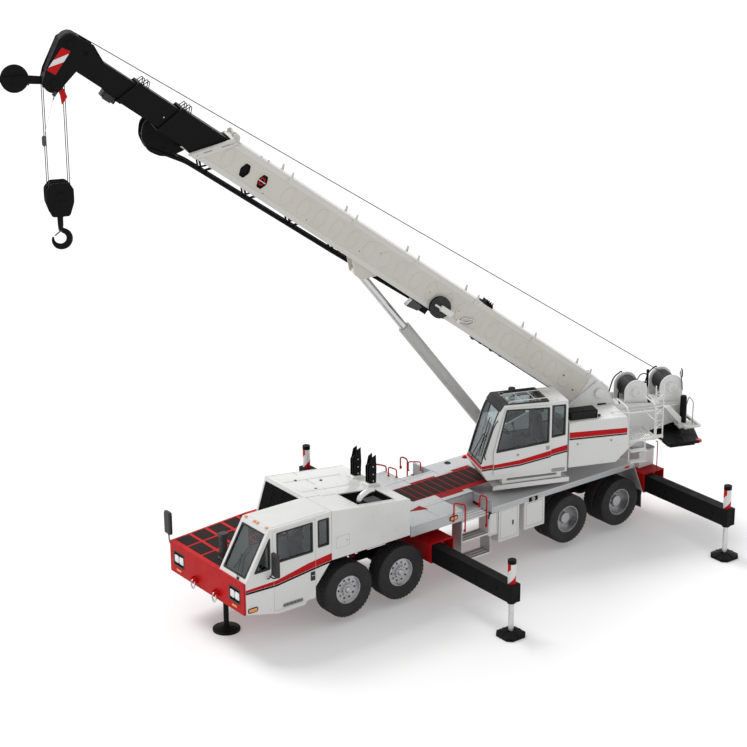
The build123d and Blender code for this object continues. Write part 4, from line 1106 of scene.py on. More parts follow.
def make_boom_fittings():
    reel = Shape(BOOM)
    x, z = 4.18, -0.31
    for y in (0.345, 0.415):
        reel.lathe(rect(0.0, 0.225, 0.0, 0.010), (x, y, z), "Y", 48)
    reel.lathe(rect(0.0, 0.19, 0.0, 0.06), (x, 0.353, z), "Y", 40)
    for y in (0.363, 0.383, 0.403):
        reel.lathe(torus(0.195, 0.011), (x, y, z), "Y", 40, closed=True)
    reel.rod((x, 0.33, z), (x, 0.345, z), 0.09, 24)
    reel.piece("boom_reel", "boom", "hose")
    hub = Shape(BOOM)
    hub.prism(corners(rect(3.90, 4.20, z - 0.05, z + 0.07), 0.03), 0.425, 0.50)
    hub.prism(corners(rect(4.19, 4.33, z - 0.02, z + 0.02), 0.01), 0.44, 0.47)
    hub.rod((x, 0.415, z), (x, 0.425, z), 0.075, 24)
    for dx in (0.03, 0.12, 0.22):
        hub.rod((3.92 + dx, 0.50, z + 0.05), (3.92 + dx, 0.504, z + 0.05), 0.008, 8)
    hub.piece("boom_reel_hub", "boom", "white", bevel=0.008)
    loop = Shape(BOOM)
    loop.tube([(3.62, 0.34, -0.36), (3.60, 0.36, -0.24), (3.40, 0.37, -0.16), (3.34, 0.37, -0.20), (3.42, 0.36, -0.33),
               (3.56, 0.34, -0.36)], 0.012, 10, 0.05, 5)
    loop.tube([(3.66, 0.34, -0.33), (3.50, 0.35, -0.30), (3.44, 0.36, -0.24)], 0.014, 10, 0.05, 5)
    loop.box((3.60, 3.68), (0.33, 0.35), (-0.38, -0.31))
    loop.piece("boom_hose_loop", "boom", "chrome")
    lamp = Shape(BOOM)
    lamp.box((4.34, 4.50), (0.20, 0.335), (-0.60, BASE_LOW - 0.005))
    lamp.piece("boom_lamp_arm", "boom", "black", bevel=0.004)
    lamp = Shape(BOOM)
    lamp.prism([(4.50, -0.50), (4.76, -0.48), (4.80, -0.66), (4.54, -0.62)], 0.19, 0.37)
    lamp.piece("boom_lamp", "boom", "iron", bevel=0.006)
    Shape(BOOM).prism([(4.765, -0.49), (4.775, -0.495), (4.81, -0.645), (4.80, -0.65)], 0.205, 0.355).piece(
        "boom_lamp_lens", "boom", "lamp")
    dots = Shape(BOOM)
    for px, pz in ((0.54, -0.252), (0.91, -0.1), (4.53, -0.167), (3.76, -0.165), (6.30, -0.25), (5.9, -0.05),
                   (7.6, -0.30), (8.65, -0.33)):
        dots.rod((px, BASE_HALF, pz), (px, BASE_HALF + 0.006, pz), 0.018 if px < 1 else 0.01, 14)
    dots.piece("boom_plugs", "boom", "plastic")
    under = Shape(BOOM)
    for k, px in enumerate((2.0, 2.35, 2.6, 2.75, 2.9, 3.1, 1.4, 0.9)):
        under.box((px, px + 0.05), (0.24, 0.30), (BASE_LOW - 0.035 - 0.012 * (k % 3), BASE_LOW - 0.01))
    under.tube([(0.6, 0.26, BASE_LOW - 0.03), (3.2, 0.26, BASE_LOW - 0.03)], 0.011, 8)
    under.piece("boom_underside_pipe", "boom", "iron")
    marks = Shape(BOOM)
    marks.frame([(8.72, -0.15), (8.76, -0.07), (8.82, -0.07), (8.86, -0.15), (8.82, -0.23), (8.76, -0.23)],
                [(8.745, -0.15), (8.772, -0.095), (8.808, -0.095), (8.835, -0.15), (8.808, -0.205), (8.772, -0.205)],
                0.300, 0.304)
    marks.piece("boom_window_marker", "boom", "red")
    Shape(BOOM).box((8.70, 8.88), (0.305, 0.312), (-0.158, -0.142)).piece("boom_window_bar", "boom", "white")


make_boom_sides()
make_boom_top()
make_boom_fittings()

# Operator's cab

OP_LEFT, OP_RIGHT, DOOR_FACE = 1.25, 0.39, 1.286
OP_TOP_LINE = [(1.45, 2.155), (0.55, 2.225), (-0.5, 2.42)]
OP_LOW_LINE = [(1.45, 2.09), (0.55, 2.135), (-0.5, 2.30)]
OP_FRONT_LINE = [(1.25, 1.84), (1.39, 2.07), (1.355, 2.20), (1.27, 2.49), (1.20, 2.71), (1.13, 2.92), (1.085, 3.06),
                 (1.03, 3.20), (0.97, 3.32), (0.89, 3.43)]
OP_REAR, OP_FLOOR, OP_WALL = -0.5, 1.83, 0.036
OP_QUARTER = [(-0.44, 2.65), (-0.15, 2.62), (-0.15, 3.31), (-0.44, 3.30)]
OP_FAR = [(0.0, 2.5), (1.08, 2.5), (0.86, 3.3), (0.0, 3.3)]


def front_x(z):
    """How far forward the operator's cab reaches at a height."""
    return between([(height, x) for x, height in OP_FRONT_LINE], z)


def carved(shape, cutters):
    """Cuts other shapes out of a shape."""
    objects = []
    for solid in (shape, *cutters):
        closed_up(solid.mesh)
        data = bpy.data.meshes.new("carving")
        solid.mesh.to_mesh(data)
        solid.mesh.free()
        objects.append(bpy.data.objects.new("carving", data))
        bpy.context.scene.collection.objects.link(objects[-1])
    for cutter in objects[1:]:
        cut = objects[0].modifiers.new("cut", "BOOLEAN")
        cut.object, cut.operation, cut.solver = cutter, "DIFFERENCE", "EXACT"
    graph = bpy.context.evaluated_depsgraph_get()
    shape.mesh = bmesh.new()
    shape.mesh.from_mesh(objects[0].evaluated_get(graph).to_mesh())
    for made in objects:
        data = made.data
        bpy.data.objects.remove(made)
        bpy.data.meshes.remove(data)
    return shape


def front_band(name, finish, low, high, proud=0.002):
    """A painted band across the cab's front face."""
    outline = [(front_x(z) + out, z) for out, line in ((0.0, (low, high)), (proud, (high, low))) for z in line]
    Shape(SUPER).prism(outline, OP_RIGHT, OP_LEFT + 0.0018).piece(name, "superstructure", finish)


def make_operator_cab():
    outline = [(OP_REAR, OP_FLOOR)] + OP_FRONT_LINE + [(OP_REAR, 3.39)]
    inner = Shape(SUPER).prism(grown(outline, -OP_WALL), OP_RIGHT + OP_WALL, OP_LEFT - OP_WALL)
    door = Shape().prism([(-0.09, 1.95), (1.10, 1.95), (1.10, 2.44), (0.85, 3.35), (-0.09, 3.32)], OP_LEFT - 0.05,
                         OP_LEFT + 0.01)
    quarter = Shape().prism(OP_QUARTER, OP_RIGHT - 0.01, OP_LEFT + 0.01)
    far = Shape().prism(OP_FAR, OP_RIGHT - 0.01, OP_RIGHT + 0.05)
    screen = Shape().box((0.94, 1.6), (0.455, 1.185), (2.20, 3.29))
    roof = Shape().box((0.0, 0.74), (0.475, 1.165), (3.30, 3.6))
    rear = Shape().box((-0.6, -0.4), (0.50, 1.14), (2.62, 3.25))
    shell = carved(Shape(SUPER).prism(outline, OP_RIGHT, OP_LEFT), (inner, door, quarter, far, screen, roof, rear))
    shell.piece("operator_shell", "superstructure", "white", sharp=20, replaces=("operator_cab",))
    window("op_door_window", "operator_door_body", [(-0.07, 2.54), (1.06, 2.45), (0.85, 3.34), (-0.07, 3.29)], "Y",
           DOOR_FACE, 1, SUPER, 0.07, inner=0.027)
    for name, outline, axis, face, out, proud in (
            ("op_quarter", OP_QUARTER, "Y", OP_LEFT, 1, 0.004),
            ("op_quarter_far", OP_QUARTER, "Y", OP_RIGHT, -1, 0.007),
            ("op_side_far", OP_FAR, "Y", OP_RIGHT, -1, 0.007),
            ("op_rear", rect(0.50, 1.14, 2.62, 3.25), "X", OP_REAR, -1, 0.007),
            ("op_roof_window", rect(0.0, 0.74, 0.475, 1.165), "Z", 3.415, 1, 0.007)):
        window(name, "superstructure", outline, axis, face, out, SUPER, proud=proud)
    heights = [2.19 + 1.11 * k / 12 for k in range(13)]
    pane = Shape(SUPER)
    pane.faces([[(front_x(z) - depth, y, z) for y, depth in rect(0.45, 1.19, 0.010, 0.016)] for z in heights])
    pane.piece("op_screen_pane", "superstructure", "glass", sharp=60)
    seal = Shape(SUPER)
    ring = [(front_x(z) + 0.002, 0.452, z) for z in heights] + [(front_x(z) + 0.002, 1.188, z) for z in heights[::-1]]
    seal.tube(ring + ring[:1], 0.016, 10, 0.03)
    seal.piece("op_screen_gasket", "superstructure", "hose", sharp=60)
    dark = Shape(SUPER)
    dark.faces([[(front_x(z) + depth, y, z) for y, depth in rect(0.40, 1.24, 0.0, 0.006)]
                for z in (3.31, 3.34, 3.37, 3.40, 3.42)])
    dark.frame(rect(-0.08, 0.90, 0.41, 1.23), rect(-0.015, 0.755, 0.46, 1.18), 3.40, 3.436, "Z")
    dark.piece("op_roof_rim", "superstructure", "plastic", 0.003)
    bars = Shape(SUPER)
    for y in (0.70, 1.16):
        bars.tube([(-0.28, y, 3.40), (-0.28, y, 3.47), (0.72, y, 3.47), (0.78, y, 3.43)], 0.011, 10, 0.04)
    for x in (-0.1, 0.2, 0.5):
        bars.tube([(x, 0.70, 3.47), (x, 1.16, 3.47)], 0.008, 8)
    bars.piece("op_roof_guard", "superstructure", "white")
    for name, body, low, high, face in (("rear", "superstructure", -0.498, -0.134, OP_LEFT),
                                        ("door", "operator_door_body", -0.128, 1.118, DOOR_FACE),
                                        ("front", "superstructure", 1.124, 1.37, OP_LEFT)):
        stripe(f"op_stripe_{name}", body, OP_TOP_LINE, OP_LOW_LINE, low, high, face, 1, SUPER)
        stripe(f"op_line_{name}", body, lowered(OP_LOW_LINE, 0.008), lowered(OP_LOW_LINE, 0.04), low, high, face, 1,
               SUPER, "black")
    front_band("op_front_stripe", "red", 2.095, 2.162)
    front_band("op_front_line", "black", 2.055, 2.087)
    rail = Shape(SUPER)
    rail.tube([(front_x(3.12) - 0.04, 1.24, 3.12), (front_x(3.10) + 0.02, 1.30, 3.10)]
              + [(front_x(z) + 0.035, 1.30, z) for z in (3.0, 2.8, 2.6, 2.4)]
              + [(front_x(2.3) - 0.04, 1.24, 2.30)], 0.012, 10, 0.04)
    rail.piece("op_grab_rail", "superstructure", "plastic")
    step = Shape(SUPER).prism(corners(rect(-0.46, -0.16, 1.85, 1.932), 0.02), OP_LEFT, OP_LEFT + 0.004)
    for z in (1.87, 1.89, 1.91):
        step.box((-0.44, -0.18), (OP_LEFT + 0.004, OP_LEFT + 0.008), (z - 0.005, z + 0.005))
    step.piece("op_step_plate", "superstructure", "grey", 0.002)
    latch = Shape(SUPER).box((-0.09, -0.02), (DOOR_FACE, DOOR_FACE + 0.012), (2.38, 2.46))
    latch.rod((0.60, DOOR_FACE, 2.34), (0.60, DOOR_FACE + 0.004, 2.34), 0.03, 20)
    latch.piece("op_door_latch", "operator_door_body", "grey", 0.003)
    wipers = Shape(SUPER)
    wipers.tube([(front_x(2.15) + 0.02, 0.70, 2.15), (front_x(2.25) + 0.035, 0.72, 2.25),
                 (front_x(2.75) + 0.03, 0.92, 2.75)], 0.009, 8, 0.03)
    wipers.tube([(front_x(z) + 0.018, 0.98 - 0.05 * (z - 2.3), z) for z in (2.3, 2.5, 2.75, 3.0, 3.1)], 0.009, 6)
    wipers.piece("op_wiper", "superstructure", "plastic")
    inside = Shape(SUPER)
    inside.prism([(0.72, 1.88), (1.18, 1.90), (1.30, 2.10), (1.22, 2.40), (1.06, 2.68), (1.00, 2.64), (0.98, 2.3)],
                 0.60, 1.05)
    for low, high in ((0.46, 0.555), (1.045, 1.14)):
        inside.prism([(0.0, 2.40), (0.45, 2.40), (0.42, 2.52), (0.02, 2.52)], low, high)
    inside.piece("op_console", "superstructure", "lining", 0.02)
    levers = Shape(SUPER)
    for y in (0.51, 1.09):
        levers.rod((0.36, y, 2.50), (0.42, y, 2.70), 0.012, 10)
        levers.ball((0.425, y, 2.72), 0.032, (1, 1, 1.3))
    levers.rod((0.94, 0.8, 2.2), (0.80, 0.8, 2.70), 0.03, 14)
    levers.piece("op_levers", "superstructure", "plastic")
    wheel = steering_wheel(SUPER @ basis((0.78, 0.8, 2.73), (0.93, 0, 0.36), (0, 1, 0)), 0.18, 0.18, 0.011)
    wheel.piece("op_steering_wheel", "superstructure", "plastic")


def make_seat(name, body, node, place, x, y, z, width):
    """A suspension seat with crowned cushions, side bolsters and a head rest."""
    base = Shape(place)
    half = width / 2

    def pad(length, wide, thick, at, lean):
        rings = []
        outline = corners(rect(-length / 2, length / 2, -wide / 2, wide / 2), 0.07, 5)
        for k in range(9):
            t = k / 8
            up = thick * (t - 0.5)
            edge = (1 - (2 * t - 1) ** 4) ** 0.5 if 0 < k < 8 else 0.0
            rings.append([(a, b, up + (0.012 * (1 - (b / (wide / 2)) ** 2) if t > 0.5 else 0))
                          for a, b in grown(outline, -0.045 * (1 - edge))])
        return Shape(place @ basis(at, (cos(lean), 0, sin(lean)), (0, 1, 0))).faces(rings)

    for word, length, wide, thick, at, lean in (
            ("base", 0.50, width, 0.13, (x + 0.26, y, z + 0.03), 0.05),
            ("back", 0.66, width, 0.12, (x, y, z + 0.40), 1.42),
            ("head", 0.20, width * 0.55, 0.09, (x - 0.06, y, z + 0.80), 1.42)):
        pad(length, wide, thick, at, lean).piece(f"{name}_{word}", body, "seat", sharp=60)
    base.box((x + 0.05, x + 0.47), (y - half + 0.06, y + half - 0.06), (z - 0.09, z - 0.03))
    for k in range(5):
        base.box((x + 0.10, x + 0.42), (y - half + 0.09, y + half - 0.09), (z - 0.13 - 0.035 * k, z - 0.11 - 0.035 * k))
    base.box((x + 0.08, x + 0.44), (y - half + 0.08, y + half - 0.08), (z - 0.36, z - 0.29))
    base.box((x + 0.12, x + 0.40), (y - 0.15, y + 0.15), (z - 0.42, z - 0.36))
    base.tube([(x + 0.02, y + half - 0.02, z + 0.62), (x - 0.01, y + half - 0.02, z + 0.30),
               (x + 0.10, y + half - 0.01, z + 0.06)], 0.012, 6, 0.05)
    base.piece(f"{name}_frame", body, "plastic", bevel=0.006, replaces=(node,))


# Superstructure

SIDE_FACE = 1.2


def make_superstructure():
    stripe("side_stripe", "superstructure", [(-0.565, 2.655), (-1.86, 2.61)], [(-0.565, 2.53), (-1.86, 2.50)], -1.855,
           -0.565, SIDE_FACE, 1, SUPER)
    stripe("side_line", "superstructure", [(-0.565, 2.52), (-1.86, 2.49)], [(-0.565, 2.485), (-1.86, 2.46)], -1.855,
           -0.565, SIDE_FACE, 1, SUPER, "black")
    box = Shape(SUPER)
    box.prism(corners(rect(-1.24, -0.62, 2.845, 3.04), 0.03), 0.78, 1.06)
    box.piece("air_intake", "superstructure", "black", bevel=0.01)
    slats = Shape(SUPER)
    for k in range(9):
        slats.box((-1.20, -0.66), (1.06, 1.068), (2.875 + k * 0.017, 2.882 + k * 0.017))
    slats.rod((-1.30, 1.0, 2.85), (-1.30, 1.0, 2.90), 0.03, 14)
    slats.piece("air_intake_slats", "superstructure", "plastic")
    lid = Shape(SUPER)
    lid.box((-1.84, -0.58), (0.42, 1.185), (2.85, 2.858))
    outline = corners(rect(-1.80, -0.62, 1.95, 2.44), 0.02)
    lid.frame(outline, grown(outline, -0.006), SIDE_FACE - 0.001, SIDE_FACE + 0.001)
    lid.piece("side_cabinet_trim", "superstructure", "white", bevel=0.002)
    locks = Shape(SUPER)
    for x in (-0.75, -1.5):
        locks.rod((x, SIDE_FACE, 2.38), (x, SIDE_FACE + 0.012, 2.38), 0.022, 16)
    locks.piece("side_cabinet_locks", "superstructure", "grey", bevel=0.002)
    for word, side in FACES:
        face = side * 0.375
        trim = Shape(SUPER)
        trim.lathe([(0.0, 0), (0.105, 0), (0.105, side * 0.02), (0.075, side * 0.03), (0, side * 0.03)],
                   (-1.55, side * 0.405, 3.125), "Y", 28)
        bolt_circle(trim, (-1.55, 3.125), 0.085, 6, face, side * 0.438, 0.010)
        trim.tube([(0.74, face, 2.14), (-0.65, face, 2.745), (-1.49, face, 3.37)], 0.012, 8)
        trim.tube([(-1.61, face, 3.37), (-1.93, face, 2.82), (-3.55, face, 2.69)], 0.012, 8)
        trim.piece(f"cheek_trim_{word}", "superstructure", "white")
        # Near-black sheet on the cheek: painted shade of a slot
        slot = Shape(SUPER).prism(corners([(-1.72, 2.82), (-1.52, 2.83), (-1.52, 2.89), (-1.72, 2.88)], 0.015), face,
                                  side * 0.378)
        slot.piece(f"cheek_slot_shade_{word}", "superstructure", "dark")
        ribs = Shape(SUPER)
        for outline, end in (([(-3.07, 2.62), (-3.00, 2.62), (-3.42, 2.10), (-3.49, 2.12)], 0.43),
                             (rect(-3.55, -3.50, 2.66, 2.34), 0.43),
                             ([(-2.05, 2.72), (-1.99, 2.74), (-2.30, 1.85), (-2.36, 1.87)], 0.40)):
            ribs.prism(outline, face, side * end)
        ribs.box((-3.56, -1.95), (face, side * 0.43), (2.66, 2.69))
        ribs.piece(f"tail_ribs_{word}", "superstructure", "white", bevel=0.004)
    step = Shape(SUPER)
    step.prism([(-0.56, 1.70), (1.02, 1.70), (1.12, 1.665), (1.12, 1.60), (-0.56, 1.60)], 1.235, 1.255)
    step.box((-0.56, 1.10), (0.82, 1.235), (1.66, 1.668))
    step.piece("op_walkway", "superstructure", "white", bevel=0.004)


ROPE_TURNS = 24


def make_winches():
    for word, x, z in (("front", -2.44, 3.01), ("rear", -3.25, 3.04)):
        rope = Shape(SUPER)
        profile = []
        width = 0.47 / ROPE_TURNS
        for k in range(ROPE_TURNS):
            low = -0.235 + k * width
            profile += [(0.207, low), (0.2155, low + width * 0.25), (0.2185, low + width * 0.5),
                        (0.2155, low + width * 0.75)]
        rope.lathe([(0.17, -0.235)] + profile + [(0.17, 0.235)], (x, 0, z), "Y", 48)
        rope.piece(f"winch_rope_{word}", f"winch_{word}", "rope", sharp=80)
        for name, side in SIDES[::-1]:
            hub = Shape(SUPER)
            face = side * 0.29
            hub.lathe([(0.0, 0), (0.125, 0), (0.125, side * 0.02), (0.10, side * 0.03), (0.10, side * 0.055),
                       (0.05, side * 0.06), (0.05, side * 0.04), (0, side * 0.04)], (x, face, z), "Y", 36)
            bolt_circle(hub, (x, z), 0.113, 10, face, face + side * 0.03, 0.009)
            hub.prism([(x - 0.27, 2.66), (x + 0.27, 2.66), (x + 0.27, 2.78), (x + 0.20, 2.80), (x - 0.20, 2.80),
                       (x - 0.27, 2.78)], face, face + side * 0.012)
            for k in range(7):
                hub.rod((x - 0.24 + 0.08 * k, face, 2.72), (x - 0.24 + 0.08 * k, face + side * 0.022, 2.72), 0.011, 6)
            hub.piece(f"winch_hub_{word}_{name}", "superstructure", "white", bevel=0.002)
        motor = Shape(SUPER)
        motor.rod((x, -0.29, z), (x, -0.42, z), 0.085, 20)
        motor.rod((x, -0.42, z), (x, -0.55, z), 0.06, 16)
        motor.box((x - 0.05, x + 0.05), (-0.52, -0.44), (z + 0.03, z + 0.13))
        motor.tube([(x, -0.48, z + 0.12), (x, -0.48, z + 0.22), (x + 0.2, -0.46, z + 0.10), (x + 0.35, -0.38, 2.75)],
                   0.016, 8, 0.1, 5)
        motor.piece(f"winch_motor_{word}", "superstructure", "black", bevel=0.004)
    pipes = Shape(SUPER)
    pipes.rod((-2.77, 0.12, 2.69), (-2.77, 0.12, 3.38), 0.022, 12)
    pipes.rod((-2.77, 0.12, 3.34), (-2.77, 0.12, 3.42), 0.03, 12)
    for points, radius, bend in (
            ([(-2.77, 0.12, 3.30), (-2.68, 0.14, 3.36), (-2.58, 0.15, 3.34), (-2.50, 0.16, 3.22)], 0.012, 0.06),
            ([(-2.77, 0.12, 3.12), (-2.64, 0.14, 3.18), (-2.60, 0.15, 3.02)], 0.012, 0.06),
            ([(-2.10, 0.25, 3.02), (-2.04, 0.27, 3.16), (-2.08, 0.27, 3.28)], 0.012, 0.05),
            ([(-2.12, 0.20, 2.7), (-2.05, 0.22, 2.95), (-2.12, 0.24, 3.20)], 0.016, 0.08)):
        pipes.tube(points, radius, 8, bend, 5)
    pipes.box((-2.84, -2.70), (-0.2, 0.2), (2.69, 2.78))
    pipes.piece("winch_pipes", "superstructure", "black", bevel=0.003)
    mirror = Shape(SUPER)
    mirror.tube([(-3.50, 0.31, 2.95), (-3.47, 0.34, 3.12), (-3.45, 0.34, 3.24)], 0.012, 8, 0.04)
    mirror.ball((-3.45, 0.34, 3.34), 0.075, (0.35, 0.75, 1.5))
    mirror.piece("tail_mirror", "superstructure", "plastic")
    face = Shape(SUPER).ball((-3.433, 0.34, 3.34), 0.062, (0.28, 0.75, 1.5))
    face.piece("tail_mirror_glass", "superstructure", "mirror")


def make_tail():
    post = Shape(SUPER)
    post.lathe([(0, 2.30), (0.07, 2.30), (0.07, 2.86), (0.055, 2.90), (0, 2.90)], (-3.44, 0.52, 0), "Z", 24)
    post.piece("tail_cylinder", "superstructure", "black")
    arm = Shape(SUPER)
    arm.prism([(-2.98, 2.70), (-3.14, 2.70), (-3.50, 2.30), (-3.62, 2.28), (-3.62, 2.20), (-3.42, 2.20)], 0.44, 0.56)
    for x, y, z in (((-3.70, -3.30), (0.40, 0.66), (2.22, 2.27)), ((-3.74, -3.68), (0.0, 0.78), (2.24, 2.31)),
                    ((-3.42, -3.37), (0.40, 0.80), (2.24, 2.31)), ((-3.72, -3.38), (0.76, 0.80), (2.25, 2.30)),
                    ((-3.58, -3.54), (0.38, 0.42), (2.25, 2.66))):
        arm.box(x, y, z)
    arm.piece("tail_arm", "superstructure", "white", bevel=0.006)
    rails = Shape(SUPER)
    rails.tube([(-3.62, 0.62, 2.27), (-3.62, 0.62, 2.78), (-3.62, 0.40, 2.82), (-3.58, 0.38, 2.60)], 0.012, 8, 0.06)
    rails.piece("tail_rail", "superstructure", "grey")


def make_platform():
    floor = Shape(SUPER)
    outline = rect(-2.60, -1.93, 0.376, 1.06)
    floor.frame(outline, grown(outline, -0.03), 2.205, 2.255, "Z")
    for k in range(11):
        x = -2.55 + k * 0.057
        floor.box((x, x + 0.008), (0.40, 1.04), (2.222, 2.25))
    for y in (0.55, 0.72, 0.89):
        floor.box((-2.58, -1.95), (y, y + 0.012), (2.218, 2.24))
    floor.piece("platform_grating", "superstructure", "white", bevel=0.002, replaces=("platform",))
    rails = Shape(SUPER)
    for x in (-2.58, -1.95):
        rails.tube([(x, 1.04, 2.22), (x, 1.04, 2.86), (x, 0.94, 2.96), (x, 0.42, 2.96)], 0.018, 12, 0.09, 6)
        rails.tube([(x, 1.04, 2.60), (x, 0.42, 2.62)], 0.012, 10)
    rails.tube([(-2.58, 1.04, 2.86), (-1.95, 1.04, 2.86)], 0.016, 10)
    rails.tube([(-1.95, 1.04, 2.86), (-1.66, 1.04, 2.94), (-1.60, 0.9, 2.86)], 0.016, 10, 0.06)
    for x in (-2.52, -2.70):
        rails.rod((x, 1.10, 2.24), (x, 1.10, 3.42), 0.014, 10)
    for k in range(7):
        low = 2.30 + k * 0.16
        rails.rod((-2.52, 1.10, low), (-2.70, 1.10, low + 0.13 * (1 if k % 2 else -1)), 0.009, 8)
        rails.rod((-2.52, 1.10, low + 0.02), (-2.70, 1.10, low + 0.02), 0.009, 8)
    rails.box((-2.72, -2.50), (1.03, 1.11), (2.26, 2.30))
    rails.piece("platform_rails", "superstructure", "white")
    steps = Shape(SUPER)
    for z in (1.78, 2.02):
        steps.box((-2.35, -1.97), (1.02, 1.16), (z, z + 0.022))
    for x in (-2.35, -1.985):
        steps.box((x, x + 0.02), (1.03, 1.06), (1.76, 2.24))
    steps.piece("platform_steps", "superstructure", "white", bevel=0.002)


make_operator_cab()
make_seat("operator_seat_pad", "superstructure", "operator_seat", SUPER, 0.0, 0.8, 2.35, 0.48)
make_seat("driver_seat_pad", "carrier", "driver_seat", CARRIER, 4.50, 0.85, 1.22, 0.46)
make_superstructure()
make_winches()
make_tail()
make_platform()

# Outriggers, their marker posts, jacks and floats

BEAMS = (("front", 1.405), ("rear", -4.45))
BEAM_SHIFT = -0.3
JACK_Y = 3.57
BEAM_END = 3.69
BEAM_SIDE = 0.1152
COLLAR_FACE = 1.281
MARKER_LOW = 1.0
MARKER_BAND_TOP = 1.565
MARKER_WHITE_TOP = 1.57
MARKER_TOP = 1.615
TUBE = 0.078


def helix(shape, centre, radius, start, low, high, height, thick=0.0012, steps=30):
    """A slanted band wound up a post."""
    rings = []
    for i in range(steps + 1):
        angle = start + 2 * pi * i / steps
        middle = low + (high - low) * i / steps
        ring = []
        for far, up in rect(radius, radius + thick, -1, 1):
            z = min(max(middle + up * height / 2, MARKER_LOW + 0.001 * up), MARKER_BAND_TOP + 0.001 * up)
            ring.append((centre[0] + far * cos(angle), centre[1] + far * sin(angle), z))
        rings.append(ring)
    return shape.faces(rings)


def make_float(name, body, x, y):
    """A thick square foot with cut corners, a sloped top with ribs, and lugs for the jack."""
    def outline(half, cut):
        return [(x - half, y - half + cut), (x - half + cut, y - half), (x + half - cut, y - half),
                (x + half, y - half + cut), (x + half, y + half - cut), (x + half - cut, y + half),
                (x - half + cut, y + half), (x - half, y + half - cut)]
    foot = Shape()
    foot.faces([[(a, b, z) for a, b in outline(half, cut)]
                for half, cut, z in ((0.235, 0.09, 0.0), (0.243, 0.09, 0.008), (0.243, 0.09, 0.07),
                                     (0.11, 0.045, 0.112), (0.10, 0.04, 0.118))])
    for way in (-1, 1):
        foot.prism([(y + way * 0.238, 0.06), (y + way * 0.238, 0.085), (y + way * 0.09, 0.128), (y + way * 0.05, 0.1)],
                   x - 0.011, x + 0.011, "X")
        foot.prism([(x + way * 0.238, 0.06), (x + way * 0.238, 0.085), (x + way * 0.09, 0.128), (x + way * 0.05, 0.1)],
                   y - 0.011, y + 0.011)
        foot.box((x + way * 0.058, x + way * 0.078), (y - 0.04, y + 0.04), (0.1, 0.136))
    foot.rod((x - 0.095, y, 0.122), (x + 0.095, y, 0.122), 0.011)
    foot.piece(name + "_float", body, "black", 0.003)
    jack = Shape()
    jack.lathe(rect(0.0, 0.0532, 0.09, 0.78), (x, y, 0), "Z", 32)
    jack.piece(name + "_rod", body, "steel", replaces=(name,))


def make_outriggers():
    for place, front in BEAMS:
        for side, way in SIDES:
            x = front if way == 1 else front + BEAM_SHIFT
            y = way * JACK_Y
            name, body = f"{place}_{side}", f"outrigger_{place}_{side}"
            sleeve = Shape().lathe(rect(TUBE, TUBE + 0.001, MARKER_LOW, MARKER_WHITE_TOP), (x, y, 0), "Z", 36,
                                   closed=True)
            sleeve.piece(f"marker_{name}", body, "white")
            bands = Shape()
            for low in (0.55, 1.05):
                helix(bands, (x, y), TUBE + 0.001, 0.6, low, low + 0.5, 0.25)
            bands.piece(f"marker_bands_{name}", body, "red")
            cap = Shape().lathe([(0.0, 1.60), (0.05, 1.60), (0.058, 1.612), (0.074, MARKER_TOP), (0.084, 1.608),
                                 (0.084, 1.53), (TUBE, 1.53), (TUBE, 1.55), (0.0, 1.55)], (x, y, 0), "Z", 36)
            cap.piece(f"marker_cap_{name}", body, "black", 0.002)
            ends = Shape()
            end = way * BEAM_END
            ends.frame(corners(rect(x - 0.112, x + 0.112, 0.748, 1.112), 0.01),
                       corners(rect(x - 0.085, x + 0.085, 0.78, 1.08), 0.03), end, end + way * 0.008)
            ends.lathe(rect(TUBE + 0.0002, 0.082, 0.702, 0.744), (x, y, 0), "Z", 36, closed=True)
            for dx, z in ((-0.098, 0.765), (0.098, 0.765), (-0.098, 1.095), (0.098, 1.095)):
                ends.rod((x + dx, end + way * 0.008, z), (x + dx, end + way * 0.018, z), 0.009, 6)
            ends.piece(f"beam_end_{name}", body, "black", 0.0015)
            # Near-black discs on the beam sides: painted shade standing in for holes
            holes = Shape()
            for face in (-1, 1):
                for along in (3.28, 1.9):
                    holes.rod((x + face * BEAM_SIDE, way * along, 0.93), (x + face * 0.1158, way * along, 0.93), 0.032,
                              24)
            holes.piece(f"beam_hole_shade_{name}", body, "dark")
            wear = Shape()
            for face in (-1, 1):
                for z in ((0.80, 0.812), (1.05, 1.062)):
                    wear.box((x + face * BEAM_SIDE, x + face * 0.1165), (way * 1.5, way * 3.45), z)
            wear.piece(f"beam_seams_{name}", body, "black", 0.0005)
            make_float(f"jack_{name}", f"jack_{name}_body", x, y)


def make_outrigger_boxes():
    for place, front in BEAMS:
        for side, way in SIDES:
            collars = Shape()
            for shift in (0, BEAM_SHIFT):
                x = front + shift
                outer = rect(x - 0.145, x + 0.145, 0.715, 1.15)
                inner = rect(x - 0.122, x + 0.122, 0.738, 1.122)
                collars.frame(outer, inner, way * COLLAR_FACE, way * 1.286)
            collars.piece(f"box_collars_{place}_{side}", "carrier", "red", 0.001)
            screws = Shape()
            for shift in (-0.43, -0.15, 0.13):
                for z in (0.79, 0.93, 1.07):
                    screws.rod((front + shift, way * COLLAR_FACE, z), (front + shift, way * 1.29, z), 0.008, 6)
            screws.piece(f"box_screws_{place}_{side}", "carrier", "red")


# Deck between the hood and the superstructure

DECK = 1.67
EDGE = 1.28
CABINET_FACE = 1.258


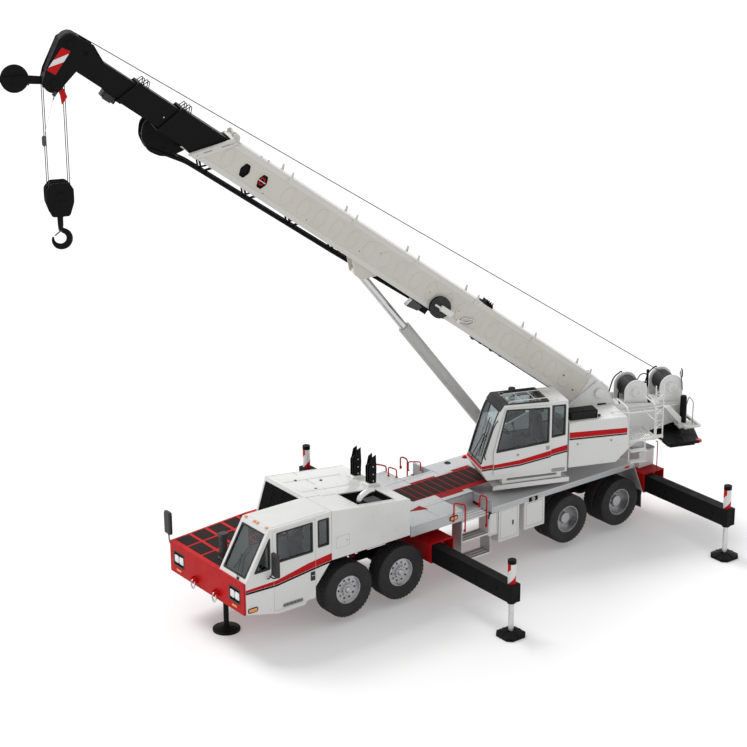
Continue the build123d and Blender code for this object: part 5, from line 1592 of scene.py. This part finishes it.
def make_deck():
    base = Shape()
    base.box((-0.84, 1.28), (-0.365, 0.365), (DECK + 0.0004, DECK + 0.0018))
    for x, y in (((0.10, 0.71), (0.36, 0.57)), ((-0.62, 0.10), (0.36, 0.50)),
                 ((0.10, 0.74), (-0.43, -0.36)), ((-0.83, -0.37), (-0.46, -0.36))):
        base.box(x, y, (DECK + 0.0004, DECK + 0.0018))
    base.prism([(1.25, 0.84), (1.66, 0.70), (1.30, 0.60)], DECK + 0.0004, DECK + 0.0018, "Z")
    base.prism([(-3.83, 0.82), (-4.0, 0.69), (-4.0, 0.98)], 1.5004, 1.5018, "Z")
    base.piece("walkway_border", "carrier", "deck_red")
    pads = Shape()
    for index in range(11):
        x = 1.255 - index * 0.19
        pads.prism([(x, -0.335), (x + 0.012, 0.335), (x - 0.153, 0.335), (x - 0.165, -0.335)],
                   DECK + 0.001, DECK + 0.0038, "Z")
    pads.piece("walkway_pads", "carrier", "grip")
    seams = Shape()
    for x in (1.32, 0.74, -0.05):
        for y in ((-1.27, -0.44), (0.58, 1.27)):
            seams.box((x - 0.003, x + 0.003), y, (DECK + 0.0002, DECK + 0.0008))
    for y in (-0.62, 0.72):
        seams.box((-0.05, 2.04), (y - 0.003, y + 0.003), (DECK + 0.0002, DECK + 0.0008))
    seams.piece("deck_seams", "carrier", "dark")
    screws = Shape()
    for x in (1.9, 1.5, 1.1, 0.7, 0.3, -0.1):
        for y in (-1.22, -0.68, 0.66, 0.78):
            screws.lathe([(0.0, 0.0022), (0.006, 0.002), (0.009, 0.0)], (x, y, DECK), "Z", 12)
    screws.piece("deck_screws", "carrier", "steel")
    filler = Shape()
    filler.lathe([(0.045, 0.0), (0.045, 0.012), (0.053, 0.018), (0.066, 0.016), (0.072, 0.0)],
                 (-0.57, -0.80, DECK), "Z", 32, closed=True)
    filler.lathe(rect(0.0, 0.046, 0.001, 0.0), (-0.57, -0.80, DECK), "Z", 32)
    filler.piece("deck_ring", "carrier", "plastic", 0.001)
    knob = Shape().lathe([(0.0, 0.05), (0.03, 0.048), (0.042, 0.036), (0.042, 0.012), (0.062, 0.008), (0.064, 0.0)],
                         (-1.06, -0.82, DECK), "Z", 32)
    knob.piece("deck_cap", "carrier", "red", 0.001)
    rails = Shape()
    hoop(rails, [(0.83, -1.02, DECK), (0.83, -1.02, DECK + 0.2), (0.74, -0.86, DECK + 0.17),
                     (0.74, -0.86, DECK)], 0.014, 0.05)
    hoop(rails, [(0.33, -0.99, DECK), (0.33, -0.99, DECK + 0.2), (0.12, -0.84, DECK + 0.19),
                     (0.12, -0.84, DECK)], 0.014, 0.05)
    rails.piece("far_hoops", "carrier", "red")
    for side, way in SIDES:
        near = Shape()
        y = way * (EDGE + 0.016)
        for points in ([(0.97, 1.50), (0.97, 1.88), (0.675, 1.76), (0.675, 1.20)],
                       [(0.30, 1.64), (0.30, 1.88), (0.115, 1.78), (0.115, 1.16)]):
            near.tube([(x, y, z) for x, z in points], 0.016, 10, 0.07)
            for x, z in (points[0], points[-1]):
                near.box((x - 0.03, x + 0.03), (way * (EDGE + 0.0005), way * (EDGE + 0.006)), (z - 0.035, z + 0.03))
        near.piece(f"step_rails_{side}", "carrier", "red")
        steps = Shape()
        for z in (0.53, 0.96, 1.40):
            for y0 in (0.98, 1.08, 1.18):
                steps.box((-0.02, 0.72), (way * (y0 - 0.012), way * (y0 + 0.012)), (z + 0.0005, z + 0.006))
            steps.box((-0.024, 0.724), (way * 1.2605, way * 1.2635), (z - 0.03, z + 0.004))
        steps.piece(f"step_treads_{side}", "carrier", "white", 0.0008)
        well = Shape().box((-0.025, 0.735), (way * 0.40, way * 0.98), (1.402, 1.408))
        well.box((-0.025, 0.735), (way * 0.688, way * 0.694), (1.408, 1.638))
        well.piece(f"step_well_{side}", "carrier", "plate")
        lamp = Shape().prism(corners([(1.07, 1.50), (1.07, 1.60), (0.86, 1.60), (0.86, 1.50)], 0.03),
                             way * (EDGE + 0.0005), way * (EDGE + 0.008))
        lamp.piece(f"marker_plate_{side}", "carrier", "plastic", 0.002)
        lens = Shape().prism(corners([(1.045, 1.52), (1.045, 1.58), (0.885, 1.58), (0.885, 1.52)], 0.025),
                             way * (EDGE + 0.006), way * (EDGE + 0.022))
        lens.piece(f"marker_lens_{side}", "carrier", "amber", 0.004)
        edges = Shape()
        edges.box((0.745, 2.045), (way * (EDGE + 0.0004), way * (EDGE + 0.003)), (1.655, 1.669))
        edges.box((-3.97, -0.055), (way * (EDGE + 0.0004), way * (EDGE + 0.003)), (1.488, 1.499))
        edges.piece(f"deck_edges_{side}", "carrier", "white", 0.001)


def make_cabinets():
    for side, way in SIDES:
        face = way * CABINET_FACE
        for name, front, rear, low, high in (("small", 0.03, -0.21, 0.88, 1.40), ("door", -0.262, -0.768, 0.70, 1.38),
                                             ("rear", -0.952, -1.458, 0.79, 1.36)):
            if name == "small":
                box = Shape().box((rear, front), (way * 0.95, face - way * 0.012), (low, high))
                box.piece(f"cabinet_small_{side}", "carrier", "white", 0.004)
            panel = Shape().prism(corners(rect(front, rear, low, high), 0.02), face - way * 0.012, face + way * 0.006)
            panel.piece(f"cabinet_{name}_panel_{side}", "carrier", "white", 0.004)
            line = Shape()
            line.frame(corners(rect(front - 0.03, rear + 0.03, low + 0.03, high - 0.03), 0.02),
                       corners(rect(front - 0.034, rear + 0.034, low + 0.034, high - 0.034), 0.02),
                       face + way * 0.006, face + way * 0.0066)
            line.piece(f"cabinet_{name}_line_{side}", "carrier", "dark")
        latch = Shape().prism(corners(rect(-0.60, -0.635, 0.98, 1.08), 0.01), face + way * 0.006, face + way * 0.016)
        latch.box((-0.14, 0.04), (face, face + way * 0.016), (1.365, 1.41))
        latch.prism([(0.02, 1.27), (0.04, 1.27), (0.04, 1.41), (0.0, 1.41)], face, face + way * 0.016)
        latch.piece(f"cabinet_latch_{side}", "carrier", "plastic", 0.002)
        # Thin near-black sheet behind the filler cap: painted shade of its recess
        recess = Shape().prism(corners(rect(-1.03, -1.27, 1.36, 1.46), 0.01), way * (EDGE + 0.0004),
                               way * (EDGE + 0.001))
        recess.piece(f"filler_recess_shade_{side}", "carrier", "dark")
        cap = Shape().lathe([(0.0, 0.018), (0.035, 0.016), (0.045, 0.01), (0.05, 0.0)], (-1.15, 0, 1.41), "Y", 28)
        cap.mesh.transform(Matrix.Diagonal((1, way, 1, 1)) @ Matrix.Translation((0, EDGE + 0.001, 0)))
        cap.piece(f"filler_cap_{side}", "carrier", "grey", 0.001)
        hinges = Shape()
        for x in (-0.30, -0.73):
            hinges.rod((x - 0.025, face + way * 0.004, 1.372), (x + 0.025, face + way * 0.004, 1.372), 0.008, 10)
        hinges.piece(f"cabinet_hinges_{side}", "carrier", "steel")


def make_rear():
    """Mud flaps, lamps, lockers and rods behind the rear wheels."""
    for side, way in SIDES:
        flap = Shape().prism([(-4.262, 0.78), (-4.272, 0.38), (-4.262, 0.38), (-4.252, 0.78)],
                             way * 0.66, way * 1.262)
        flap.prism([(-4.262, 0.74), (-4.27, 0.70), (-4.255, 0.70), (-4.25, 0.74)], way * 0.65, way * 1.272)
        flap.piece(f"mud_flap_{side}", "carrier", "rubber", 0.002)
        lens = Shape().prism(corners([(-3.72, 1.425), (-3.72, 1.465), (-3.86, 1.465), (-3.86, 1.425)], 0.02),
                             way * (EDGE + 0.0005), way * (EDGE + 0.014))
        lens.piece(f"fender_lamp_{side}", "carrier", "red_lens", 0.004)
        box = Shape().box((-4.86, -4.42), (way * 0.42, way * 1.0), (1.16, 1.56))
        box.piece(f"rear_locker_{side}", "carrier", "white", 0.008)
        lid = Shape().box((-4.868, -4.412), (way * 0.412, way * 1.008), (1.53, 1.572))
        lid.piece(f"rear_locker_lid_{side}", "carrier", "grey", 0.004)
        rod = Shape().tube([(-4.84, way * 1.12, 1.14), (-4.84, way * 1.12, 1.72), (-4.80, way * 1.10, 1.74)], 0.011,
                           10, 0.02)
        rod.piece(f"rear_rod_{side}", "carrier", "red")


make_outriggers()
make_outrigger_boxes()
make_deck()
make_cabinets()
make_rear()

# Head of the boom, its ropes and the hook

HEAD_FACE = 0.204
TOP_SHEAVE = (13.33, 0.04)
NOSE_SHEAVE = (13.18, -0.72)
AUX_SHEAVE = (13.79, -1.07)
CHEEK = [(12.60, -0.329), (12.60, 0.089), (12.95, 0.26), (13.45, 0.20), (13.55, 0.0), (13.44, -0.62), (13.33, -0.90),
         (13.03, -0.90), (12.95, -0.329)]
ROPE = 0.009
BLOCK_CHEEK = [(-0.15, 0.33), (0.15, 0.33), (0.262, 0.21), (0.262, -0.06), (0.17, -0.325), (-0.17, -0.325),
               (-0.262, -0.06), (-0.262, 0.21)]
BLOCK_SHEAVE_Z = 0.09
BLOCK_FACE = 0.16
STRANDS = (-0.12, -0.04, 0.04, 0.12)
SHEAVE_HALF = 0.027


def sheave(shape, x, z, radius, low, high):
    """A disc with a groove for the rope in its rim and a step at its hub."""
    middle, half = (low + high) / 2, (high - low) / 2
    shape.lathe([(0.0, -half), (0.07, -half), (0.08, -half * 0.7), (radius - 0.05, -half * 0.7), (radius - 0.03, -half),
                 (radius, -half), (radius, -half * 0.75), (radius - 0.02, 0.0), (radius, half * 0.75), (radius, half),
                 (radius - 0.03, half), (radius - 0.05, half * 0.7), (0.08, half * 0.7), (0.07, half), (0.0, half)],
                (x, middle, z), "Y", 48)


def bent_rope(name, points, first, second, start, end, steps=24):
    """A rope that crosses one joint."""
    line = []
    for low, high in zip(points, points[1:]):
        low, high = Vector(low), Vector(high)
        line += [low + (high - low) * i / steps for i in range(steps)]
    line.append(Vector(points[-1]))
    shape = Shape(BOOM).tube(line, ROPE, 8)
    return shape.piece(name, (first, second, BOOM @ Vector(start), BOOM @ Vector(end)), "rope")


def hoist_line(x):
    return 1.01 - 0.0572 * x


def make_head():
    rim = Shape(BOOM)
    for way in (-1, 1):
        rim.frame(CHEEK, grown(CHEEK, -0.022), way * HEAD_FACE, way * (HEAD_FACE + 0.004))
        for (x, z), radius in ((TOP_SHEAVE, 0.085), (NOSE_SHEAVE, 0.09)):
            rim.lathe([(0.0, 0.0), (radius, 0.0), (radius, way * 0.012), (radius - 0.02, way * 0.014),
                       (radius - 0.03, way * 0.03), (0.0, way * 0.03)], (x, way * HEAD_FACE, z), "Y", 32)
            bolt_circle(rim, (x, z), radius - 0.012, 6, way * (HEAD_FACE + 0.013), way * (HEAD_FACE + 0.019), 0.007)
        for x, z in ((13.18, -0.173), (12.72, -0.06), (12.72, -0.22), (13.08, 0.15), (13.10, -0.42), (13.12, -0.55)):
            rim.rod((x, way * HEAD_FACE, z), (x, way * (HEAD_FACE + 0.01), z), 0.014, 6)
    rim.piece("head_rims", "boom_tip_body", "black", 0.002)
    # Near-black discs on the head cheeks: painted shade standing in for holes
    holes = Shape(BOOM)
    for way in (-1, 1):
        holes.rod((13.325, way * (HEAD_FACE + 0.0006), 0.165), (13.325, way * (HEAD_FACE + 0.0012), 0.165), 0.02, 20)
        holes.rod((12.98, way * (HEAD_FACE + 0.0006), 0.05), (12.98, way * (HEAD_FACE + 0.0012), 0.05), 0.05, 24)
    holes.piece("head_hole_shade", "boom_tip_body", "dark")
    for side, way in FACES:
        plate = Shape(BOOM).prism([(13.425, -0.10), (13.25, -0.07), (13.24, -0.585), (13.425, -0.60)],
                                  way * HEAD_FACE, way * (HEAD_FACE + 0.0055))
        plate.piece(f"head_plate_{side}", "boom_tip_body", "red", 0.001)
        band = Shape(BOOM).prism([(13.425, -0.38), (13.425, -0.54), (13.244, -0.30), (13.248, -0.12)],
                                 way * (HEAD_FACE + 0.0055), way * (HEAD_FACE + 0.0062))
        band.piece(f"head_band_{side}", "boom_tip_body", "white")
    wheels = Shape(BOOM)
    for x, z in (TOP_SHEAVE, NOSE_SHEAVE):
        for y in STRANDS:
            sheave(wheels, x, z, 0.205, y - SHEAVE_HALF, y + SHEAVE_HALF)
    wheels.piece("head_sheaves", "boom_tip_body", "iron")
    aux = Shape(BOOM)
    x, z = AUX_SHEAVE
    sheave(aux, x, z, 0.262, -0.03, 0.03)
    for way in (-1, 1):
        aux.lathe([(0.0, 0.0), (0.05, 0.0), (0.045, way * 0.02), (0.0, way * 0.022)], (x, way * 0.05, z), "Y", 24)
    aux.rod((x + 0.20, -0.055, z - 0.19), (x + 0.20, 0.055, z - 0.19), 0.014, 12)
    aux.rod((x - 0.27, -0.055, z + 0.05), (x - 0.27, 0.055, z + 0.05), 0.014, 12)
    for y in (-0.052, 0.044):
        aux.prism([(x - 0.03, z - 0.05), (x + 0.04, z + 0.04), (x + 0.26, z - 0.13), (x + 0.22, z - 0.22),
                   (x + 0.12, z - 0.13)], y, y + 0.008)
    aux.piece("aux_sheave", "boom_tip_body", "black", 0.002)
    # Near-black discs on the sheave faces: painted shade standing in for its lightening holes
    dark = Shape(BOOM)
    for turn in range(6):
        angle = pi * (turn / 3 + 0.2)
        for way in (-1, 1):
            px, pz = x + 0.14 * cos(angle), z + 0.14 * sin(angle)
            dark.rod((px, way * 0.0216, pz), (px, way * 0.0222, pz), 0.033, 18)
    dark.piece("aux_sheave_hole_shade", "boom_tip_body", "dark")
    socket = Shape(BOOM)
    socket.prism([(12.957, -0.719), (12.818, -0.809), (12.819, -0.988), (12.939, -0.866), (13.03, -0.80)], 0.10, 0.17)
    socket.rod((12.94, 0.09, -0.78), (12.94, 0.18, -0.78), 0.018, 14)
    socket.piece("rope_socket", "boom_tip_body", "red", 0.006)
    switch = Shape(BOOM)
    switch.box((13.03, 13.10), (0.208, 0.245), (-0.93, -0.84))
    switch.rod((13.07, 0.22, -0.90), (13.02, 0.22, -0.99), 0.01, 10)
    switch.piece("head_switch", "boom_tip_body", "plastic", 0.003)
    roller = Shape(BOOM).box((12.0, 12.30), (-0.12, 0.12), (-0.47, -0.345))
    roller.box((12.08, 12.26), (0.10, 0.14), (-0.49, -0.36))
    roller.piece("section_3_bracket", "section_3", "plastic", 0.003)
    guides = {"section_3": ((11.66, 11.78), 0.131), "section_2": ((10.71, 10.83), 0.173)}
    for body, (places, top) in guides.items():
        loops = Shape(BOOM)
        for x in places:
            for y in (-0.08, 0.08):
                loops.tube([(x - 0.06, y, top), (x - 0.01, y, top + 0.12), (x + 0.02, y, top + 0.12),
                            (x + 0.07, y, top)], 0.009, 8, 0.03)
        loops.piece(f"rope_guides_{body}", body, "black")
    strands = Shape(BOOM)
    for y in STRANDS:
        strands.tube([(13.12, y, 0.03), (13.18, y, 0.17), (13.33, y, 0.238), (13.46, y, 0.18), (13.53, y, 0.04),
                      (13.525, y, -0.10), (13.40, y, -0.64)], ROPE, 8, 0.06)
    strands.piece("head_strands", "boom_tip_body", "rope")
    eyes = Shape(BOOM)
    for px, pz in ((11.38, -0.14), (11.70, -0.07)):
        eyes.rod((px, 0.2045, pz), (px, 0.21, pz), 0.035, 20)
    eyes.piece("tip_plugs", "boom_tip_body", "iron", 0.002)
    light = Shape(BOOM).rod((11.11, 0.289, -0.146), (11.11, 0.294, -0.146), 0.012, 12)
    light.piece("section_2_plug", "section_2", "steel")


def make_hoist_rope():
    marks = [-1.29, 0.7, 4.2, 7.8, 13.33]
    spans = [("superstructure", "boom", -0.6, 0.5), ("boom", "section_2", 1.2, 4.0),
             ("section_2", "section_3", 4.4, 7.6), ("section_3", "boom_tip_body", 8.0, 12.5)]
    for index, (first, second, low, high) in enumerate(spans):
        points = [(x, 0, hoist_line(x)) for x in marks[index:index + 2]]
        bent_rope(f"hoist_rope_{index + 1}", points, first, second, (low, 0, hoist_line(low)),
                  (high, 0, hoist_line(high)))


def tapered(shape, points, radii, sides=18):
    """A round bar whose radius changes along its line, drawn in the XZ plane."""
    rings = []
    for i, (x, z) in enumerate(points):
        before, after = points[max(i - 1, 0)], points[min(i + 1, len(points) - 1)]
        way = Vector((after[0] - before[0], 0, after[1] - before[1])).normalized()
        other = Vector((0, 1, 0)).cross(way)
        rings.append([Vector((x, 0, z)) + radii[i] * (cos(2 * pi * k / sides) * other
                                                      + 0.85 * sin(2 * pi * k / sides) * Vector((0, 1, 0)))
                      for k in range(sides)])
    return shape.faces(rings)


def make_hook():
    block = Shape(HOOK)
    for low in (-0.16, -0.01, 0.14):
        block.prism(corners(BLOCK_CHEEK, 0.05), low, low + 0.02)
    for y in (-0.12, 0.12):
        sheave(block, 0, BLOCK_SHEAVE_Z, 0.19, y - 0.017, y + 0.017)
    for way in (-1, 1):
        block.lathe([(0.0, 0.0), (0.07, 0.0), (0.07, way * 0.012), (0.045, way * 0.02), (0.045, way * 0.034),
                     (0.0, way * 0.036)], (0, way * BLOCK_FACE, BLOCK_SHEAVE_Z), "Y", 32)
        block.prism(corners(rect(-0.13, 0.13, -0.02, -0.22), 0.03), way * BLOCK_FACE, way * 0.172)
        for x, z in ((-0.10, 0.27), (0.10, 0.27), (-0.20, 0.17), (0.20, 0.17), (-0.13, -0.27), (0.13, -0.27)):
            block.rod((x, way * BLOCK_FACE, z), (x, way * 0.172, z), 0.013, 6)
    block.box((-0.12, 0.12), (-0.139, 0.139), (-0.325, -0.19))
    for x in (-0.15, 0.15):
        block.rod((x, -0.14, 0.29), (x, 0.14, 0.29), 0.012, 12)
    block.lathe([(0.0, -0.36), (0.075, -0.36), (0.08, -0.35), (0.08, -0.325), (0.0, -0.325)], (0, 0, 0), "Z", 32)
    block.piece("hook_cheeks", "hook", "black", 0.003, replaces=("hook_block",))
    # Near-black bar and disc on the block's cheeks: painted shade standing in for a slit and a hole
    slit = Shape(HOOK)
    for way in (-1, 1):
        slit.box((-0.09, 0.09), (way * 0.172, way * 0.1726), (-0.128, -0.118))
        slit.rod((0, way * 0.172, -0.06), (0, way * 0.1726, -0.06), 0.018, 18)
    slit.piece("hook_slit_shade", "hook", "dark")
    points, radii = [(0, -0.34), (0, -0.46), (0.0, -0.54), (0.0, -0.60)], [0.058, 0.056, 0.054, 0.05]
    for step in range(27):
        angle = radians(108 + step * 272 / 26)
        radius = 0.158 + 0.012 * sin(angle)
        points.append((radius * cos(angle), -0.80 + radius * sin(angle)))
        radii.append(0.052 + 0.012 * max(0.0, sin(pi * min(step, 20) / 20)) - (0.034 * max(0, step - 19) / 7))
    iron = tapered(Shape(HOOK), points, radii)
    iron.piece("hook_iron", "hook", "black", sharp=60)
    latch = Shape(HOOK)
    latch.rod((0.0, 0.0, -0.635), (0.118, 0.0, -0.725), 0.014, 10)
    latch.rod((0.0, -0.04, -0.635), (0.0, 0.04, -0.635), 0.02, 14)
    latch.piece("hook_latch", "hook", "iron")
    weight = Shape(HOOK)
    weight.lathe([(0.0, 0.10), (0.02, 0.10), (0.042, 0.07), (0.042, -0.07), (0.02, -0.10), (0.0, -0.10)],
                 (0.254, 0.245, 1.175), "Z", 24)
    weight.piece("fall_weight", "falls", "iron", 0.002)
    chain = Shape(HOOK)
    for y in (0.24, 0.25):
        chain.tube([(0.254, y, 1.24), (0.12, 0.24, 1.70), (0.02, 0.23, 2.02)], 0.0035, 6)
    chain.piece("fall_chain", "falls", "steel")


# Fly jib, a truss stowed along the far side of the boom

JIB_SIDES = (-0.415, -0.725)
JIB_TOP = -0.105
JIB_START, JIB_BAY, JIB_BAYS = 3.2, 0.54, 13


def jib_low(x):
    return between([(2.6, -0.16), (3.6, -0.50), (6.44, -0.60), (9.53, -0.665), (10.04, -0.678), (10.79, -0.83)], x)


def make_jib():
    truss = Shape(BOOM)
    for y in JIB_SIDES:
        truss.tube([(2.6, y, JIB_TOP), (10.9, y, JIB_TOP)], 0.042, 16)
        truss.tube([(x, y, jib_low(x)) for x in (2.6, 3.6, 6.44, 9.53, 10.04, 10.79)], 0.042, 16, 0.1, 4)
        for index in range(JIB_BAYS):
            near, far = JIB_START + index * JIB_BAY, 3.74 + index * JIB_BAY
            first, second = (near, y, jib_low(near)), (far, y, JIB_TOP)
            if index % 2:
                first, second = (near, y, JIB_TOP), (far, y, jib_low(far))
            truss.rod(first, second, 0.019, 10)
    for index in range(JIB_BAYS + 1):
        x = JIB_START + index * JIB_BAY
        z = jib_low(x) if index % 2 == 0 else JIB_TOP
        truss.rod((x, JIB_SIDES[0], z), (x, JIB_SIDES[1], z), 0.019, 10)
        if index < JIB_BAYS:
            other = jib_low(x + JIB_BAY) if index % 2 else JIB_TOP
            truss.rod((x, JIB_SIDES[index % 2], z), (x + JIB_BAY, JIB_SIDES[1 - index % 2], other), 0.014, 8)
    for x in (2.6, 10.2):
        for z in (JIB_TOP, jib_low(x)):
            truss.rod((x, JIB_SIDES[0], z), (x, JIB_SIDES[1], z), 0.03, 12)
    for x in (3.2, 9.5):
        truss.box((x, x + 0.16), (-0.45, -0.332), (-0.15, -0.06))
        truss.rod((x + 0.08, -0.39, -0.19), (x + 0.08, -0.39, -0.03), 0.022, 12)
    truss.piece("jib_truss", "boom", "black", replaces=("fly_jib",))
    ends = Shape(BOOM)
    outline = corners([(10.15, -0.07), (10.20, -0.50), (10.36, -0.74), (10.54, -0.86), (10.80, -0.90), (11.05, -0.76),
                       (11.18, -0.52), (11.12, -0.22), (10.92, -0.07)], 0.08)
    for low, high in ((-0.39, -0.44), (-0.70, -0.75)):
        ends.prism(outline, low, high)
    ends.box((10.70, 10.78), (-0.44, -0.70), (-0.86, -0.30))
    ends.box((10.95, 11.05), (-0.44, -0.70), (-0.72, -0.50))
    for x, z in ((10.95, -0.62), (10.55, -0.70), (10.95, -0.22)):
        ends.rod((x, -0.375, z), (x, -0.765, z), 0.04, 24)
    ends.piece("jib_end", "boom", "black", 0.004)
    # Near-black discs on the jib end plates: painted shade standing in for holes
    marks = Shape(BOOM)
    for low in (-0.3895, -0.7505):
        marks.rod((10.42, low, -0.45), (10.42, low + (0.0006 if low > -0.5 else -0.0006), -0.45), 0.07, 28)
    marks.piece("jib_end_hole_shade", "boom", "dark")


# Counterweight, a slab with its block beneath


def make_counterweight():
    def outline(inset):
        return [(-2.81 - inset, -1.17 + inset), (-2.81 - inset, 1.17 - inset), (-3.54 + inset * 0.6, 1.17 - inset),
                (-3.80 + inset, 0.27 - inset * 0.3), (-3.80 + inset, -0.27 + inset * 0.3),
                (-3.54 + inset * 0.6, -1.17 + inset)]
    slab = Shape(SUPER)
    slab.prism(outline(0.0), 2.05, 2.11, "Z")
    slab.prism(outline(0.10), 1.98, 2.051, "Z")
    slab.box((-3.50, -2.85), (-0.33, 0.33), (2.10, 2.65))
    slab.piece("counterweight_slab", "superstructure", "black", 0.006, replaces=("counterweight",))
    edge = Shape(SUPER)
    for side in (-1, 1):
        strip = [(-3.53, side * 1.172), (-3.80, side * 0.272), (-3.806, side * 0.272), (-3.54, side * 1.176)]
        edge.prism(strip, 2.055, 2.08, "Z")
    edge.piece("tail_edge_strips", "superstructure", "red")
    lamps = Shape(SUPER)
    for side in (-1, 1):
        lamps.box((-3.60, -3.49), (side * 1.06, side * 1.155), (2.055, 2.118))
        lamps.box((-3.815, -3.75), (side * 0.16, side * 0.25), (2.055, 2.118))
    lamps.piece("tail_lamps", "superstructure", "red_lens", 0.008)
    pads = Shape(SUPER)
    for side in (-1, 1):
        pads.lathe([(0.0, 0.016), (0.045, 0.016), (0.05, 0.01), (0.05, 0.0)], (-3.2, side * 0.85, 2.11), "Z", 24)
        pads.tube([(-3.05, side * 1.05, 2.105), (-3.05, side * 1.05, 2.15), (-3.2, side * 1.05, 2.15),
                   (-3.2, side * 1.05, 2.105)], 0.012, 8, 0.03)
    pads.piece("counterweight_eyes", "superstructure", "black")


make_head()
make_hoist_rope()
make_hook()
make_jib()
make_counterweight()
